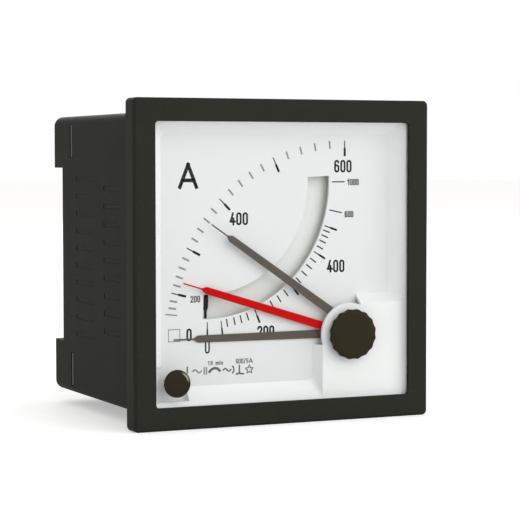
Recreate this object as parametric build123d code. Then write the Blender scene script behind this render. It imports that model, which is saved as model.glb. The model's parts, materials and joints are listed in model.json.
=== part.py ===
from build123d import *
import math
import os

# Square panel meter with two movements behind one dial. Millimetres.
# The front looks along -Y, X runs to the right seen from the front, Z is up.
# The origin is the centre of the bezel's rear face, which seats on the panel.

# Front bezel
bezel_size = 96.0
bezel_depth = 6.5
bezel_corner = 1.5
bezel_edge = 0.8
frame_width = 6.75
window_corner = 1.0
lip_thickness = 1.1
snap_length = 12.0
snap_height = 0.5
snap_depth = 1.6
snap_play = 0.1

# Window pane
pane_lap = 1.75
pane_thickness = 1.2
pane_play = 0.1

# Case
case_wall = 2.0
case_corner = 3.0
case_play = 0.1
rear_wall_recess = 5.0
rear_wall_thickness = 2.5
leg_length = 9.0
leg_span = 16.3
leg_wall = 3.0
leg_round = 1.6
ledge_width = 1.5
ledge_thickness = 2.0
vent_pitch = 5.4
vent_width = 1.6
vent_rows = 10
vent_margin = 5.5
vent_gap = 9.0
rear_vent_length = 16.0
front_vent_length = 14.5
pocket_length = 10.5
pocket_width = 3.0
pocket_depth = 0.8
pocket_setback = 10.3
pocket_inset = 2.6
cut_margin = 1.0

# Mask, the white moulding between pane and dial
mask_drop = 3.7
mask_edge = 0.65
mask_play = 0.1
slope_sides = 3.75
slope_top = 3.55
slope_bottom = 5.25
foot_corner = 1.6
block_drop = 0.2
block_margin_left = 9.1
block_margin_top = 9.2
block_lean_left = 1.8
block_lean_top = 2.7
block_skin = 1.2
hood_radius = 9.3
hood_thickness = 0.95
hood_gap_right = 3.7
hood_gap_low = 3.1
hood_wall = 1.0
corner_pocket_inset = 1.9
corner_pocket_reach_x = 4.8
corner_pocket_reach_z = 4.6

# Dial plate and the floor behind its curved slot
dial_thickness = 0.8
dial_play = 0.15
scale_band = 19.5
slot_width = 7.2
slot_start_angle = -2.0
slot_end_angle = 92.6
hand_sweep_angle = 92.0
floor_gap = 2.1
floor_thickness = 0.8
floor_margin = 2.6
floor_foot = 3.0

# How far the axes of the movements and the adjuster lie inside the window's edges
demand_inset_x = 18.95
demand_inset_z = 19.05
iron_inset_x = 18.35
iron_inset_z = 17.75
zero_inset_x = 6.65
zero_inset_z = 6.85

# Hands of the demand movement
hand_clearance = 4.0
needle_length = 6.0
chisel_length = 1.5
needle_width = 0.42
bar_tip_width = 2.1
bar_root_width = 2.6
hand_thickness = 0.25
demand_hand_lift = 0.25
dog_gap = 0.25
drag_gap = 0.35
drag_pitch = 0.65
demand_hub = 2.6
drag_hub_width = 1.7
hub_overlap = 1.0
red_angle = 17.2
grey_angle = 36.9
grey_offset = 2.5
finger_radius = 6.6
finger_size = 0.9
finger_short = 0.1
grey_tab = 0.9
gusset_length = 9.8

# Reset knob, its bush and its dog
knob_radius = 7.6
knob_thickness = 1.5
knob_gap = 0.2
knob_lobes = 16
knob_scallop = 0.26
scallop_radius = 4.0
knob_counterbore = 0.45
counterbore_play = 0.2
spindle_radius = 1.5
sleeve_wall = 0.8
bush_step = 0.5
bush_flange_width = 1.2
bush_flange_thickness = 0.35
bush_clearance = 0.1
running_clearance = 0.03
side_clearance = 0.05
dog_hub_width = 1.1
dog_park_angle = 118.0
washer_width = 1.1
clip_width = 0.9
clip_thickness = 0.2

# Zero adjuster and its lever
zero_knob_radius = 4.05
zero_knob_thickness = 0.8
zero_knob_dish = 0.2
zero_shaft_radius = 1.5
zero_clip_radius = 2.6
zero_clip_thickness = 0.35
crank_radius = 2.6
crank_thickness = 0.8
crank_throw = 1.2
crank_pin_radius = 0.7
crank_gap = 0.4
lever_thickness = 0.8
lever_ring = 4.2
lever_width = 3.0
fork_width = 5.0
fork_reach = 2.2
fork_depth = 3.4
lever_lap = 1.0
lever_clearance = 0.05
dial_shaft_hole = 2.0

# Moving-iron movement
iron_hand_depth = 0.4
iron_hand_thickness = 0.4
iron_hand_width = 1.75
iron_needle_width = 0.8
iron_needle_length = 2.0
iron_taper_length = 1.5
iron_tail = 9.0
iron_tip_gap = 0.1
iron_hub = 2.4
iron_spindle_radius = 0.6
spindle_proud = 0.1
bridge_gap = 5.3
bridge_thickness = 1.2
bridge_width = 8.0
bridge_bore = 1.2
bridge_tilt = -45.0
iron_post_flats = 3.2
iron_post_gap = 1.4
bush_post_radius = 2.2
bush_collar_width = 0.8
bush_collar_thickness = 0.6
lever_gap = 0.5
iron_bush_tail = 0.5
spring_collar_radius = 1.2
spring_collar_tail = 0.4
spring_gap = 1.3
spring_width = 0.8
spring_strip = 0.25
spring_pitch = 1.6
spring_turns = 2
strip_clearance = 0.3
stud_width = 0.8
stud_height = 1.0
bobbin_gap = 2.2
bobbin_length = 17.0
bobbin_flange_radius = 12.5
bobbin_flange_sides = 8
bobbin_flange = 1.0
bobbin_bore_radius = 7.7
bobbin_tube_wall = 0.8
winding_inset = 0.5
iron_fit = 0.1
iron_start_angle = 20.0
iron_arm_angle = 15.0
iron_arm_hub = 1.2
iron_sheet = 0.5
iron_air_gap = 0.35
moving_iron_angle = 62.0
fixed_iron_angle = 120.0
iron_sheet_length = 12.0
chamber_radius = 11.0
chamber_wall = 1.0
chamber_length = 5.5
chamber_bore = 1.5
chamber_angle = 140.0
vane_clearance = 0.35
vane_thickness = 0.4
balance_radius = 1.1
balance_pitch = 2.64
balance_length = 1.6
jewel_radius = 2.0
jewel_head = 0.6
jewel_slot_width = 0.5
jewel_slot_depth = 0.35

# Thermal movement
thermal_gap = 4.7
thermal_case_gap = 1.2
thermal_plate_thickness = 1.2
thermal_post_flats = 3.2
thermal_post_inset = 4.5
thermal_post_stand = 5.8
demand_spindle_radius = 0.6
collet_radius = 1.6
collet_tail = 0.5
spiral_strip = 0.5
spiral_pitch = 3.4
spiral_turns = 2
spiral_width = 6.0
spiral_inset = 3.8
spiral_gap = 4.0
anchor_size = 1.8
dial_spindle_hole = 3.2

# Movement plate, its pillars and screws
chamber_gap = 0.7
plate_thickness = 1.5
plate_gap = 1.0
plate_corner = 5.0
pillar_inset = 6.0
pillar_flats = 6.0
screw_radius = 1.5
screw_clearance = 0.1
screw_head_flats = 5.5
screw_head = 1.8
screw_length = 7.0
screw_end_gap = 1.0

# Feed transformer of the thermal movement
core_width = 36.0
core_height = 30.0
core_thickness = 8.0
core_limb = 10.0
core_window = 6.0
core_inset = 3.0
coil_wall = 0.8
coil_room = 0.85
coil_round = 1.4
coil_play = 0.15
winding_gap = 1.4
bracket_thickness = 1.2
bracket_width = 16.0
bracket_foot = 7.0

# Terminals
stud_radius = 2.5
stud_spread = 14.0
stud_free_length = 8.0
stud_chamfer = 0.5
stud_tail = 1.2
stud_clearance = 0.1
collar_flats = 8.0
collar_length = 3.5
stud_washer_radius = 5.0
stud_washer = 1.0
inner_nut = 3.0
strap_thickness = 0.8
strap_width = 5.0
lug_width = 9.0

# Sizes and places worked out from those above, as x and z
window_size = bezel_size - 2 * frame_width
pane_size = window_size + 2 * pane_lap
mask_rim = window_size / 2
mask_half = mask_rim + mask_edge
case_inner = mask_half + mask_play
case_size = 2 * (case_inner + case_wall)
dial_half = case_inner - dial_play
foot_sides = mask_rim - slope_sides
foot_top = mask_rim - slope_top
foot_bottom = mask_rim - slope_bottom
demand_x = mask_rim - demand_inset_x
demand_z = demand_inset_z - mask_rim
iron_x = iron_inset_x - mask_rim
iron_z = mask_rim - iron_inset_z
zero_x = zero_inset_x - mask_rim
zero_z = zero_inset_z - mask_rim
block_left = demand_x - block_margin_left
block_top = demand_z + block_margin_top
hood_cavity = hood_radius - hood_wall
hand_reach = demand_x + foot_sides - hand_clearance
needle_root = hand_reach - needle_length
bar_end = needle_root - chisel_length
slot_outer = iron_z + foot_bottom - scale_band
slot_inner = slot_outer - slot_width
plate_half = case_inner - plate_gap
pillar_spread = case_inner - pillar_inset
core_centre_z = core_height / 2 + core_inset - case_inner

# Radii worked out from the spindle, the bobbin and the room round the thermal movement
sleeve_radius = spindle_radius + sleeve_wall
bush_radius = sleeve_radius + bush_step
bush_flange_radius = bush_radius + bush_flange_width
drag_hub = sleeve_radius + drag_hub_width
washer_radius = sleeve_radius + washer_width
clip_radius = sleeve_radius + clip_width
dog_hub = spindle_radius + dog_hub_width
bush_collar_radius = bush_post_radius + bush_collar_width
bobbin_tube_radius = bobbin_bore_radius + bobbin_tube_wall
winding_radius = bobbin_flange_radius - winding_inset
fixed_iron_radius = bobbin_bore_radius - iron_fit
iron_post_spread = bobbin_flange_radius + iron_post_gap + iron_post_flats / 2
thermal_room = min(demand_inset_x, demand_inset_z) + mask_edge + mask_play
thermal_plate_radius = thermal_room - thermal_case_gap
thermal_post_circle = thermal_plate_radius - thermal_post_inset

# Planes worked out from the sizes above, as y. Each lies on what stands in front of it,
# and the case is as long as what it holds.
bezel_face = -bezel_depth
pane_face = bezel_face + lip_thickness
pane_back = pane_face + pane_thickness
block_face = pane_back + block_drop
hood_under = block_face + hood_thickness
dial_face = pane_back + mask_drop
dial_back = dial_face + dial_thickness
demand_front = dial_face - demand_hand_lift - hand_thickness
dog_front = demand_front - dog_gap - hand_thickness
red_front = dog_front - drag_gap - hand_thickness
grey_front = red_front - drag_pitch
bridge_start = dial_back + bridge_gap
bridge_back = bridge_start + bridge_thickness
lever_start = bridge_back + bush_collar_thickness + lever_gap
lever_back = lever_start + lever_thickness
spring_start = lever_back + spring_gap
spring_back = spring_start + spring_width
bobbin_start = spring_back + bobbin_gap
bobbin_end = bobbin_start + bobbin_length
rear_bridge_back = bobbin_end + bridge_thickness
chamber_back = rear_bridge_back + chamber_length
chamber_floor = chamber_back - chamber_wall
plate_start = chamber_back + jewel_head + chamber_gap
plate_back = plate_start + plate_thickness
thermal_front = dial_back + thermal_gap
thermal_rear = plate_start - thermal_post_stand - thermal_plate_thickness
working_spiral_start = thermal_front + thermal_plate_thickness + spiral_inset
compensating_spiral_start = working_spiral_start + spiral_width + spiral_gap
coil_depth = core_window - coil_room - coil_wall - coil_play
coil_grow = coil_play + coil_wall + coil_depth
core_front = plate_back + winding_gap + coil_grow
core_back = core_front + core_thickness
straps_front = core_back + coil_grow
rear_wall_front = straps_front + strap_thickness
rear_wall_back = rear_wall_front + rear_wall_thickness
case_length = rear_wall_back + rear_wall_recess
rear_vent_start = rear_wall_front - vent_margin - rear_vent_length
front_vent_start = rear_vent_start - vent_gap - front_vent_length
pocket_start = case_length - pocket_setback


def front_plane(y):
    """A plane across the meter whose normal looks out of the front."""
    return Plane(origin=(0, y, 0), x_dir=(1, 0, 0), z_dir=(0, -1, 0))


def slab(sketch, front, back):
    """A sketch drawn as x and z, made solid from y = front to y = back."""
    return extrude(front_plane(back) * sketch, amount=back - front, dir=(0, -1, 0))


def box(x0, x1, y0, y1, z0, z1):
    """A block given by its limits."""
    return Pos((x0 + x1) / 2, (y0 + y1) / 2, (z0 + z1) / 2) * Box(x1 - x0, y1 - y0, z1 - z0)


def square(half, corner):
    """A square sketch with rounded corners, given by half its side."""
    return RectangleRounded(2 * half, 2 * half, corner)


def disc(radius, front, back, x=0.0, z=0.0):
    """A round slab about an axis along Y."""
    return slab(Pos(x, z) * Circle(radius), front, back)


def ring(outer, inner, front, back, x=0.0, z=0.0):
    """A tube or washer about an axis along Y."""
    return slab(Pos(x, z) * (Circle(outer) - Circle(inner)), front, back)


def hexagon(flats):
    """A hexagon sketch given by its width across flats."""
    return RegularPolygon(flats / 2, 6, major_radius=False)


def four_corners(spread):
    """The corner places of a square, as x and z."""
    return [(sx * spread, sz * spread) for sx in (-1, 1) for sz in (-1, 1)]


def sector(inner, outer, start, end):
    """A ring sector; angles run from straight down towards +X."""
    low = start - 90
    size = end - start
    first = CenterArc((0, 0), outer, low, size)
    second = CenterArc((0, 0), inner, low, size)
    return make_face(Curve() + [first, second, Line(first @ 0, second @ 0), Line(first @ 1, second @ 1)])


def spiral_plan(first_radius, strip, pitch, turns, hand):
    """The plan of a flat spiral spring: half circles that grow by half a pitch each.
    It starts and ends on the +X side; the hand of the winding is 1 or -1."""
    grow = pitch / 2
    edges = []
    starts = []
    ends = []
    for side in (-strip / 2, strip / 2):
        for k in range(2 * turns):
            centre = (0, 0) if k % 2 == 0 else (grow, 0)
            arc = CenterArc(centre, first_radius + k * grow + side, 180 * (k % 2), 180)
            edges.append(arc)
            if k == 0:
                starts.append(arc @ 0)
        ends.append(edges[-1] @ 1)
    edges.append(Line(*starts))
    edges.append(Line(*ends))
    plan = make_face(Curve() + edges)
    return plan if hand > 0 else mirror(plan, about=Plane.XZ)


# Bezel, pane, mask and dial

def front_bezel():
    """Black frame: lip, pane pocket, case pocket with snap ridges, bevelled outer edge."""
    body = slab(square(bezel_size / 2, bezel_corner), bezel_face, 0)
    front_edges = body.faces().sort_by(Axis.Y)[0].edges()
    body = chamfer(front_edges, bezel_edge)
    body -= slab(square(window_size / 2, window_corner), bezel_face, 0)
    body -= slab(square(pane_size / 2 + pane_play, window_corner), pane_face, 0)
    body -= slab(square(case_size / 2 + case_play, case_corner), pane_back, 0)
    for turn in range(4):
        body += Rot(0, 90 * turn, 0) * snap_ridge(case_size / 2 + case_play, snap_height)
    return body


def snap_ridge(at, height):
    """One ridge of triangular section along the inside of a wall at z = at."""
    middle = pane_back / 2
    profile = Polygon(
        (middle, at - height),
        (middle + snap_depth / 2, at),
        (middle - snap_depth / 2, at),
        align=None,
    )
    plane = Plane(origin=(-snap_length / 2, 0, 0), x_dir=(0, 1, 0), z_dir=(1, 0, 0))
    return extrude(plane * profile, amount=snap_length, dir=(1, 0, 0))


def window_pane():
    """Clear pane with a hole for the knob bush and one for the zero adjuster."""
    pane = slab(square(pane_size / 2, window_corner), pane_face, pane_back)
    pane -= disc(bush_radius + bush_clearance, pane_face, pane_back, demand_x, demand_z)
    pane -= disc(zero_shaft_radius + running_clearance, pane_face, pane_back, zero_x, zero_z)
    return pane


def mask_opening():
    """The tapered hollow that the mask would have without its block."""
    foot = Pos(0, (foot_top - foot_bottom) / 2)
    foot *= RectangleRounded(2 * foot_sides, foot_top + foot_bottom, foot_corner)
    return loft([front_plane(pane_back) * square(mask_rim, window_corner), front_plane(dial_face) * foot])


def pocket_section(sides, top, bottom, left, edge, corner):
    """Outline of the mask's hollow at one depth, with the block at its lower right left out."""
    outline = Polygon(
        (-sides, -bottom),
        (left, -bottom),
        (left, edge),
        (sides, edge),
        (sides, top),
        (-sides, top),
        align=None,
    )
    return fillet(outline.vertices(), corner)


def mask_pocket():
    """The tapered L-shaped hollow between the pane and the dial, round in every corner."""
    lean = block_drop / (dial_face - block_face)
    left = block_left + lean * block_lean_left
    edge = block_top - lean * block_lean_top
    rim = pocket_section(mask_rim, mask_rim, mask_rim, left, edge, window_corner)
    left = block_left - block_lean_left
    edge = block_top + block_lean_top
    foot = pocket_section(foot_sides, foot_top, foot_bottom, left, edge, foot_corner)
    return loft([front_plane(pane_back) * rim, front_plane(dial_face) * foot])


def block_hollow():
    """The tapered hollow inside the block, drawn in from its walls by their thickness."""
    far = mask_half - block_skin
    sections = []
    foot_line = (dial_face, block_left - block_lean_left, block_top + block_lean_top)
    for y, left, top in ((block_face, block_left, block_top), foot_line):
        width = far - left - block_skin
        height = far + top - block_skin
        centre = Pos((far + left + block_skin) / 2, (top - block_skin - far) / 2)
        sections.append(front_plane(y) * centre * Rectangle(width, height))
    skin = box(-mask_half, mask_half, block_face - cut_margin, hood_under, -mask_half, mask_half)
    return loft(sections) - skin


def mask_frame():
    """White moulding: sloped walls, hollow block with its round hood, corner pocket."""
    plan = square(mask_half, case_corner - case_wall)
    body = slab(plan, pane_back, dial_face) - mask_pocket()
    body -= mask_opening() & slab(plan, pane_back, block_face)
    gap_left = block_left - 2 * block_lean_left
    gap_right = demand_x + hood_gap_right
    gap_low = demand_z - hood_gap_low
    gap_top = block_top + 2 * block_lean_top
    body -= box(gap_left, gap_right, pane_back, dial_face, gap_low, gap_top)
    body -= block_hollow()
    body += disc(hood_radius, block_face, hood_under, demand_x, demand_z)
    body -= disc(hood_cavity, hood_under, dial_face, demand_x, demand_z)
    body -= disc(bush_radius + bush_clearance, pane_back, dial_face, demand_x, demand_z)
    edge = corner_pocket_inset - mask_half
    right = zero_x + corner_pocket_reach_x
    top = zero_z + corner_pocket_reach_z
    body -= box(edge, right, pane_back, dial_face, edge, top)
    return body


def dial_plate():
    """Painted sheet with the curved slot and clearance for two spindles."""
    plate = square(dial_half, window_corner)
    plate -= Pos(iron_x, iron_z) * sector(slot_inner, slot_outer, slot_start_angle, slot_end_angle)
    plate -= Pos(demand_x, demand_z) * Circle(dial_spindle_hole)
    plate -= Pos(zero_x, zero_z) * Circle(dial_shaft_hole)
    return slab(plate, dial_face, dial_back)


def slot_floor():
    """Pale curved floor behind the slot, with a foot at each end that meets the dial."""
    inner = slot_inner - floor_margin
    outer = slot_outer + floor_margin
    reach = math.degrees(floor_foot / slot_outer)
    start = slot_start_angle - 2 * reach
    end = slot_end_angle + 2 * reach
    floor_front = dial_back + floor_gap
    place = Pos(iron_x, iron_z)
    floor = slab(place * sector(inner, outer, start, end), floor_front, floor_front + floor_thickness)
    feet = sector(inner, outer, start, start + reach) + sector(inner, outer, end - reach, end)
    return floor + slab(place * feet, dial_back, floor_front)


# Case

def corner_legs():
    """Four L-shaped legs that stand behind the case corners."""
    outer = case_size / 2
    section = square(outer, case_corner) - Rectangle(2 * (outer - leg_wall), 2 * (outer - leg_wall))
    gap = outer - leg_span
    section -= Rectangle(2 * gap, case_size)
    section -= Rectangle(case_size, 2 * gap)
    legs = slab(section, rear_wall_back, case_length + leg_length)
    tips = legs.edges().filter_by(GeomType.LINE).filter_by(
        lambda e: abs(e.center().Y - case_length - leg_length) < 0.01
        and max(abs(e.center().X), abs(e.center().Z)) > outer - 0.01
    )
    return fillet(tips, leg_round)


def vents():
    """Slots through all four walls: a rear column, and a front one set half a pitch off."""
    outer = case_size / 2 + cut_margin
    cuts = Part()
    columns = (
        (rear_vent_start, rear_vent_length, vent_rows),
        (front_vent_start, front_vent_length, vent_rows - 1),
    )
    for start, length, rows in columns:
        for row in range(rows):
            z = (row - (rows - 1) / 2) * vent_pitch
            bar = box(-outer, outer, start, start + length, z - vent_width / 2, z + vent_width / 2)
            cuts += [bar, Rot(0, 90, 0) * bar]
    return cuts


def clamp_pockets():
    """Shallow pockets near the legs on the left and right, where mounting clamps catch."""
    outer = case_size / 2
    top = outer - pocket_inset
    cuts = []
    for side in (-1, 1):
        for up in (-1, 1):
            x = sorted((side * (outer - pocket_depth), side * (outer + cut_margin)))
            z = sorted((up * top, up * (top - pocket_length)))
            cuts.append(box(*x, pocket_start, pocket_start + pocket_width, *z))
    return cuts


def housing():
    """Case moulding: walls, dial ledge, recessed rear wall, legs, vents and clamp pockets."""
    outer = case_size / 2
    inner_corner = case_corner - case_wall
    walls = square(outer, case_corner) - square(case_inner, inner_corner)
    body = slab(walls, pane_back, case_length)
    body += slab(square(outer, case_corner), rear_wall_front, rear_wall_back)
    ledge = square(case_inner + case_wall / 2, inner_corner) - square(case_inner - ledge_width, inner_corner)
    body += slab(ledge, dial_back, dial_back + ledge_thickness)
    body += corner_legs()
    inner_cut = square(case_inner, inner_corner)
    body -= vents() - slab(inner_cut, 0, rear_wall_front)
    body -= clamp_pockets()
    for side in (-1, 1):
        body -= disc(stud_radius + stud_clearance, rear_wall_front, rear_wall_back, side * stud_spread)
    for turn in range(4):
        body -= Rot(0, 90 * turn, 0) * snap_ridge(outer, snap_height - case_play + snap_play)
    return body


# Reset knob, bush and dog

def knob_bush():
    """Brass bush: flange on the pane, shank through pane and hood, sleeve for the drag hands."""
    flange_front = pane_face - bush_flange_thickness
    body = disc(bush_flange_radius, flange_front, pane_face)
    body += disc(bush_radius, pane_face, hood_under)
    body += disc(sleeve_radius, hood_under, sleeve_end())
    body -= disc(spindle_radius + running_clearance, flange_front, sleeve_end())
    return Pos(demand_x, 0, demand_z) * body


def sleeve_end():
    """The sleeve ends just past the red hand and its clip."""
    return red_front + hand_thickness + side_clearance + clip_thickness


def knob_front():
    """The y of the reset knob's face."""
    return pane_face - knob_gap - knob_thickness


def reset_knob():
    """Fluted knob, hollow underneath to clear the bush flange."""
    front = knob_front()
    back = pane_face - knob_gap
    plan = Circle(knob_radius)
    for k in range(knob_lobes):
        angle = math.radians(360 * k / knob_lobes)
        at = knob_radius - knob_scallop + scallop_radius
        plan -= Pos(at * math.cos(angle), at * math.sin(angle)) * Circle(scallop_radius)
    body = slab(plan, front, back)
    body -= disc(bush_flange_radius + counterbore_play, back - knob_counterbore, back)
    body -= disc(spindle_radius, back - knob_thickness / 2, back)
    return Pos(demand_x, 0, demand_z) * body


def knob_spindle():
    """Spindle from the knob to the riveted dog."""
    front = pane_face - knob_gap - knob_thickness / 2
    return disc(spindle_radius, front, dog_front + hand_thickness, demand_x, demand_z)


def reset_dog():
    """Arm on the spindle that catches the drag hands; its finger stops short of their plane."""
    arm = Circle(dog_hub) + Pos(-finger_radius / 2, 0) * Rectangle(finger_radius, 2 * finger_size)
    arm += Pos(-finger_radius, 0) * Circle(finger_size)
    arm -= Circle(spindle_radius)
    body = slab(arm, dog_front, dog_front + hand_thickness)
    tip = red_front + hand_thickness + finger_short
    body += disc(finger_size / 2, tip, dog_front, -finger_radius)
    body = Rot(0, dog_park_angle, 0) * body
    return Pos(demand_x, 0, demand_z) * body


def drag_washer():
    """Friction washer between the two drag hands."""
    front = grey_front + hand_thickness + side_clearance
    back = red_front - side_clearance
    return ring(washer_radius, sleeve_radius + running_clearance, front, back, demand_x, demand_z)


def sleeve_clip():
    """Clip ring that keeps the drag hands on the sleeve."""
    front = red_front + hand_thickness + side_clearance
    return ring(clip_radius, sleeve_radius, front, front + clip_thickness, demand_x, demand_z)


# Hands of the demand movement

def hand_bar(root, offset):
    """Plan of a hand that points left: needle, chisel end and a bar that widens to its root."""
    lean = offset / hand_reach
    points = [
        (-hand_reach, -needle_width / 2),
        (-needle_root, -needle_width / 2),
        (-bar_end, -bar_tip_width / 2),
        (-root, -bar_root_width / 2),
        (-root, bar_root_width / 2),
        (-bar_end, bar_tip_width / 2),
        (-needle_root, needle_width / 2),
        (-hand_reach, needle_width / 2),
    ]
    leaning = [(x, z + lean * (hand_reach + x)) for x, z in points]
    return Polygon(*leaning, align=None)


def demand_hand():
    """Brown-grey hand on the thermal spindle, with a short driving finger."""
    plan = hand_bar(0, 0) + Circle(demand_hub) - Circle(demand_spindle_radius)
    body = slab(plan, demand_front, demand_front + hand_thickness)
    tip = dog_front + hand_thickness + finger_short
    body += disc(finger_size / 2, tip, demand_front, -finger_radius)
    return Pos(demand_x, 0, demand_z) * body


def red_drag_hand():
    """Red hand, free on the sleeve, at the place it was last pushed to."""
    plan = hand_bar(0, 0) + Circle(drag_hub) - Circle(sleeve_radius + running_clearance)
    body = slab(plan, red_front, red_front + hand_thickness)
    return Pos(demand_x, 0, demand_z) * Rot(0, red_angle, 0) * body


def grey_drag_hand():
    """Grey hand whose bar runs past the axis, with a catch tab on its upper edge."""
    root = drag_hub - hub_overlap
    plan = hand_bar(root, grey_offset) + Circle(drag_hub)
    tab_height = grey_offset * (1 - finger_radius / hand_reach) + bar_root_width / 2
    plan += Pos(-finger_radius - grey_tab, tab_height - grey_tab / 2) * Circle(grey_tab)
    plan += Polygon(
        (-root, grey_offset),
        (-gusset_length, grey_offset),
        (-gusset_length + grey_tab, grey_offset - bar_root_width),
        (-root, -bar_root_width / 2),
        align=None,
    )
    plan -= Circle(sleeve_radius + running_clearance)
    body = slab(plan, grey_front, grey_front + hand_thickness)
    return Pos(demand_x, 0, demand_z) * Rot(0, grey_angle, 0) * body


def demand_spindle():
    """Thin spindle of the thermal movement."""
    rear = thermal_rear + thermal_plate_thickness / 2
    return disc(demand_spindle_radius, demand_front, rear, demand_x, demand_z)


def spiral_collet():
    """Long collet on the thermal spindle that both spirals grip."""
    front = working_spiral_start - collet_tail
    back = compensating_spiral_start + spiral_width + collet_tail
    return ring(collet_radius, demand_spindle_radius, front, back, demand_x, demand_z)


# Zero adjuster

def zero_knob():
    """Small round adjuster with a dished face."""
    back = pane_face - knob_gap
    front = back - zero_knob_thickness
    body = disc(zero_knob_radius, front, back)
    body = chamfer(body.faces().sort_by(Axis.Y)[0].edges(), zero_knob_dish)
    body -= disc(zero_shaft_radius, back - zero_knob_thickness / 2, back)
    return Pos(zero_x, 0, zero_z) * body


def zero_clip():
    """Clip behind the pane that keeps the adjuster in."""
    front = pane_back + side_clearance
    return ring(zero_clip_radius, zero_shaft_radius, front, front + zero_clip_thickness, zero_x, zero_z)


def lever_direction():
    """Unit vector, as x and z, from the iron axis to the adjuster."""
    dx = zero_x - iron_x
    dz = zero_z - iron_z
    length = math.hypot(dx, dz)
    return dx / length, dz / length


def zero_crank():
    """Adjuster shaft with a disc and an eccentric pin at its inner end."""
    front = pane_face - knob_gap - zero_knob_thickness / 2
    disc_back = lever_start - crank_gap
    ux, uz = lever_direction()
    body = disc(zero_shaft_radius, front, disc_back - crank_thickness)
    body += disc(crank_radius, disc_back - crank_thickness, disc_back)
    pin_back = lever_back + crank_gap
    body += disc(crank_pin_radius, disc_back, pin_back, crank_throw * ux, crank_throw * uz)
    return Pos(zero_x, 0, zero_z) * body


def zero_lever():
    """Long forked lever about the iron axis; its stud holds the hairspring's outer end."""
    length = math.hypot(zero_x - iron_x, zero_z - iron_z)
    end = length + crank_throw + fork_reach
    plan = Circle(lever_ring) + Pos(length / 2, 0) * Rectangle(length, lever_width)
    plan += Pos(end - fork_depth - fork_reach / 2, 0) * Rectangle(2 * fork_depth + fork_reach, fork_width)
    plan -= Circle(bush_post_radius + running_clearance)
    slot_length = fork_depth + fork_reach
    slot_width = 2 * (crank_pin_radius + lever_clearance)
    plan -= Pos(end - slot_length / 2 + lever_lap / 2, 0) * Rectangle(slot_length + lever_lap, slot_width)
    ux, uz = lever_direction()
    heading = math.degrees(math.atan2(uz, ux))
    body = slab(Rot(0, 0, heading) * plan, lever_start, lever_back)
    body += box(*spring_stud(), strip_clearance, strip_clearance + stud_height)
    arm_start = lever_ring - 2 * lever_lap
    arm_end = spring_end() + stud_width / 2
    arm = Pos((arm_start + arm_end) / 2, strip_clearance)
    arm *= Rectangle(arm_end - arm_start, 2 * stud_height)
    body += slab(arm, lever_start, lever_back)
    return Pos(iron_x, 0, iron_z) * body


# Moving-iron movement

def instant_hand():
    """Black hand behind the dial: bar, thin tip, tail and hub."""
    tip = slot_outer - iron_tip_gap
    neck = tip - iron_needle_length
    shoulder = neck - iron_taper_length
    points = [
        (iron_needle_width / 2, -tip),
        (iron_needle_width / 2, -neck),
        (iron_hand_width / 2, -shoulder),
        (iron_hand_width / 2, iron_tail),
        (-iron_hand_width / 2, iron_tail),
        (-iron_hand_width / 2, -shoulder),
        (-iron_needle_width / 2, -neck),
        (-iron_needle_width / 2, -tip),
    ]
    plan = Polygon(*points, align=None) + Circle(iron_hub) - Circle(iron_spindle_radius)
    front = dial_back + iron_hand_depth
    return Pos(iron_x, 0, iron_z) * slab(plan, front, front + iron_hand_thickness)


def balance_weights():
    """Two small weights on the tail of the hand."""
    front = dial_back + iron_hand_depth + iron_hand_thickness
    weights = []
    for k in range(2):
        z = iron_z + iron_tail - balance_radius - k * balance_pitch
        weights.append(disc(balance_radius, front, front + balance_length, iron_x, z))
    return Compound(children=weights)


def instant_spindle():
    """Spindle of the moving-iron movement, with the spring collar."""
    front = dial_back + iron_hand_depth - spindle_proud
    body = disc(iron_spindle_radius, front, chamber_floor - vane_clearance)
    collar_front = spring_start - spring_collar_tail
    body += disc(spring_collar_radius, collar_front, spring_back + spring_collar_tail)
    return Pos(iron_x, 0, iron_z) * body


def iron_bridge(front):
    """A bridge plate that reaches over both of its posts."""
    plan = SlotCenterToCenter(2 * iron_post_spread, bridge_width)
    return slab(plan, front, front + bridge_thickness)


def iron_front_bridge():
    """Front bridge, with a seat for the bearing bush."""
    body = iron_bridge(bridge_start) - disc(bush_post_radius, bridge_start, bridge_back)
    return Pos(iron_x, 0, iron_z) * Rot(0, bridge_tilt, 0) * body


def iron_rear_bridge():
    """Rear bridge, which carries the bobbin in front and the damping chamber behind."""
    body = iron_bridge(bobbin_end)
    body += slab(bobbin_flange_plan(), bobbin_end, rear_bridge_back)
    body -= disc(bridge_bore, bobbin_end, rear_bridge_back)
    return Pos(iron_x, 0, iron_z) * Rot(0, bridge_tilt, 0) * body


def bridge_posts():
    """Posts between the bridges, and from the rear bridge to the movement plate."""
    posts = []
    for side in (-1, 1):
        x = side * iron_post_spread
        for front, back in ((bridge_back, bobbin_end), (rear_bridge_back, plate_start)):
            posts.append(slab(Pos(x, 0) * hexagon(iron_post_flats), front, back))
    return Pos(iron_x, 0, iron_z) * Rot(0, bridge_tilt, 0) * Compound(children=posts)


def spindle_bush():
    """Bearing bush in the front bridge; the zero lever turns on its post."""
    back = lever_back + iron_bush_tail
    body = disc(bush_post_radius, bridge_start, back)
    body += disc(bush_collar_radius, bridge_back, bridge_back + bush_collar_thickness)
    body -= disc(iron_spindle_radius + running_clearance, bridge_start, back)
    return Pos(iron_x, 0, iron_z) * body


def spring_first_radius():
    """Middle radius of the hairspring's first half turn."""
    return spring_collar_radius + strip_clearance + spring_strip / 2


def spring_end():
    """Where the hairspring's outer end lies, as x from the axis."""
    return spring_first_radius() + spring_turns * spring_pitch


def spring_stud():
    """Limits in x and y of the lever's stud beside the hairspring's outer end."""
    return spring_end() - stud_width / 2, spring_end() + stud_width / 2, lever_back, spring_back


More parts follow.
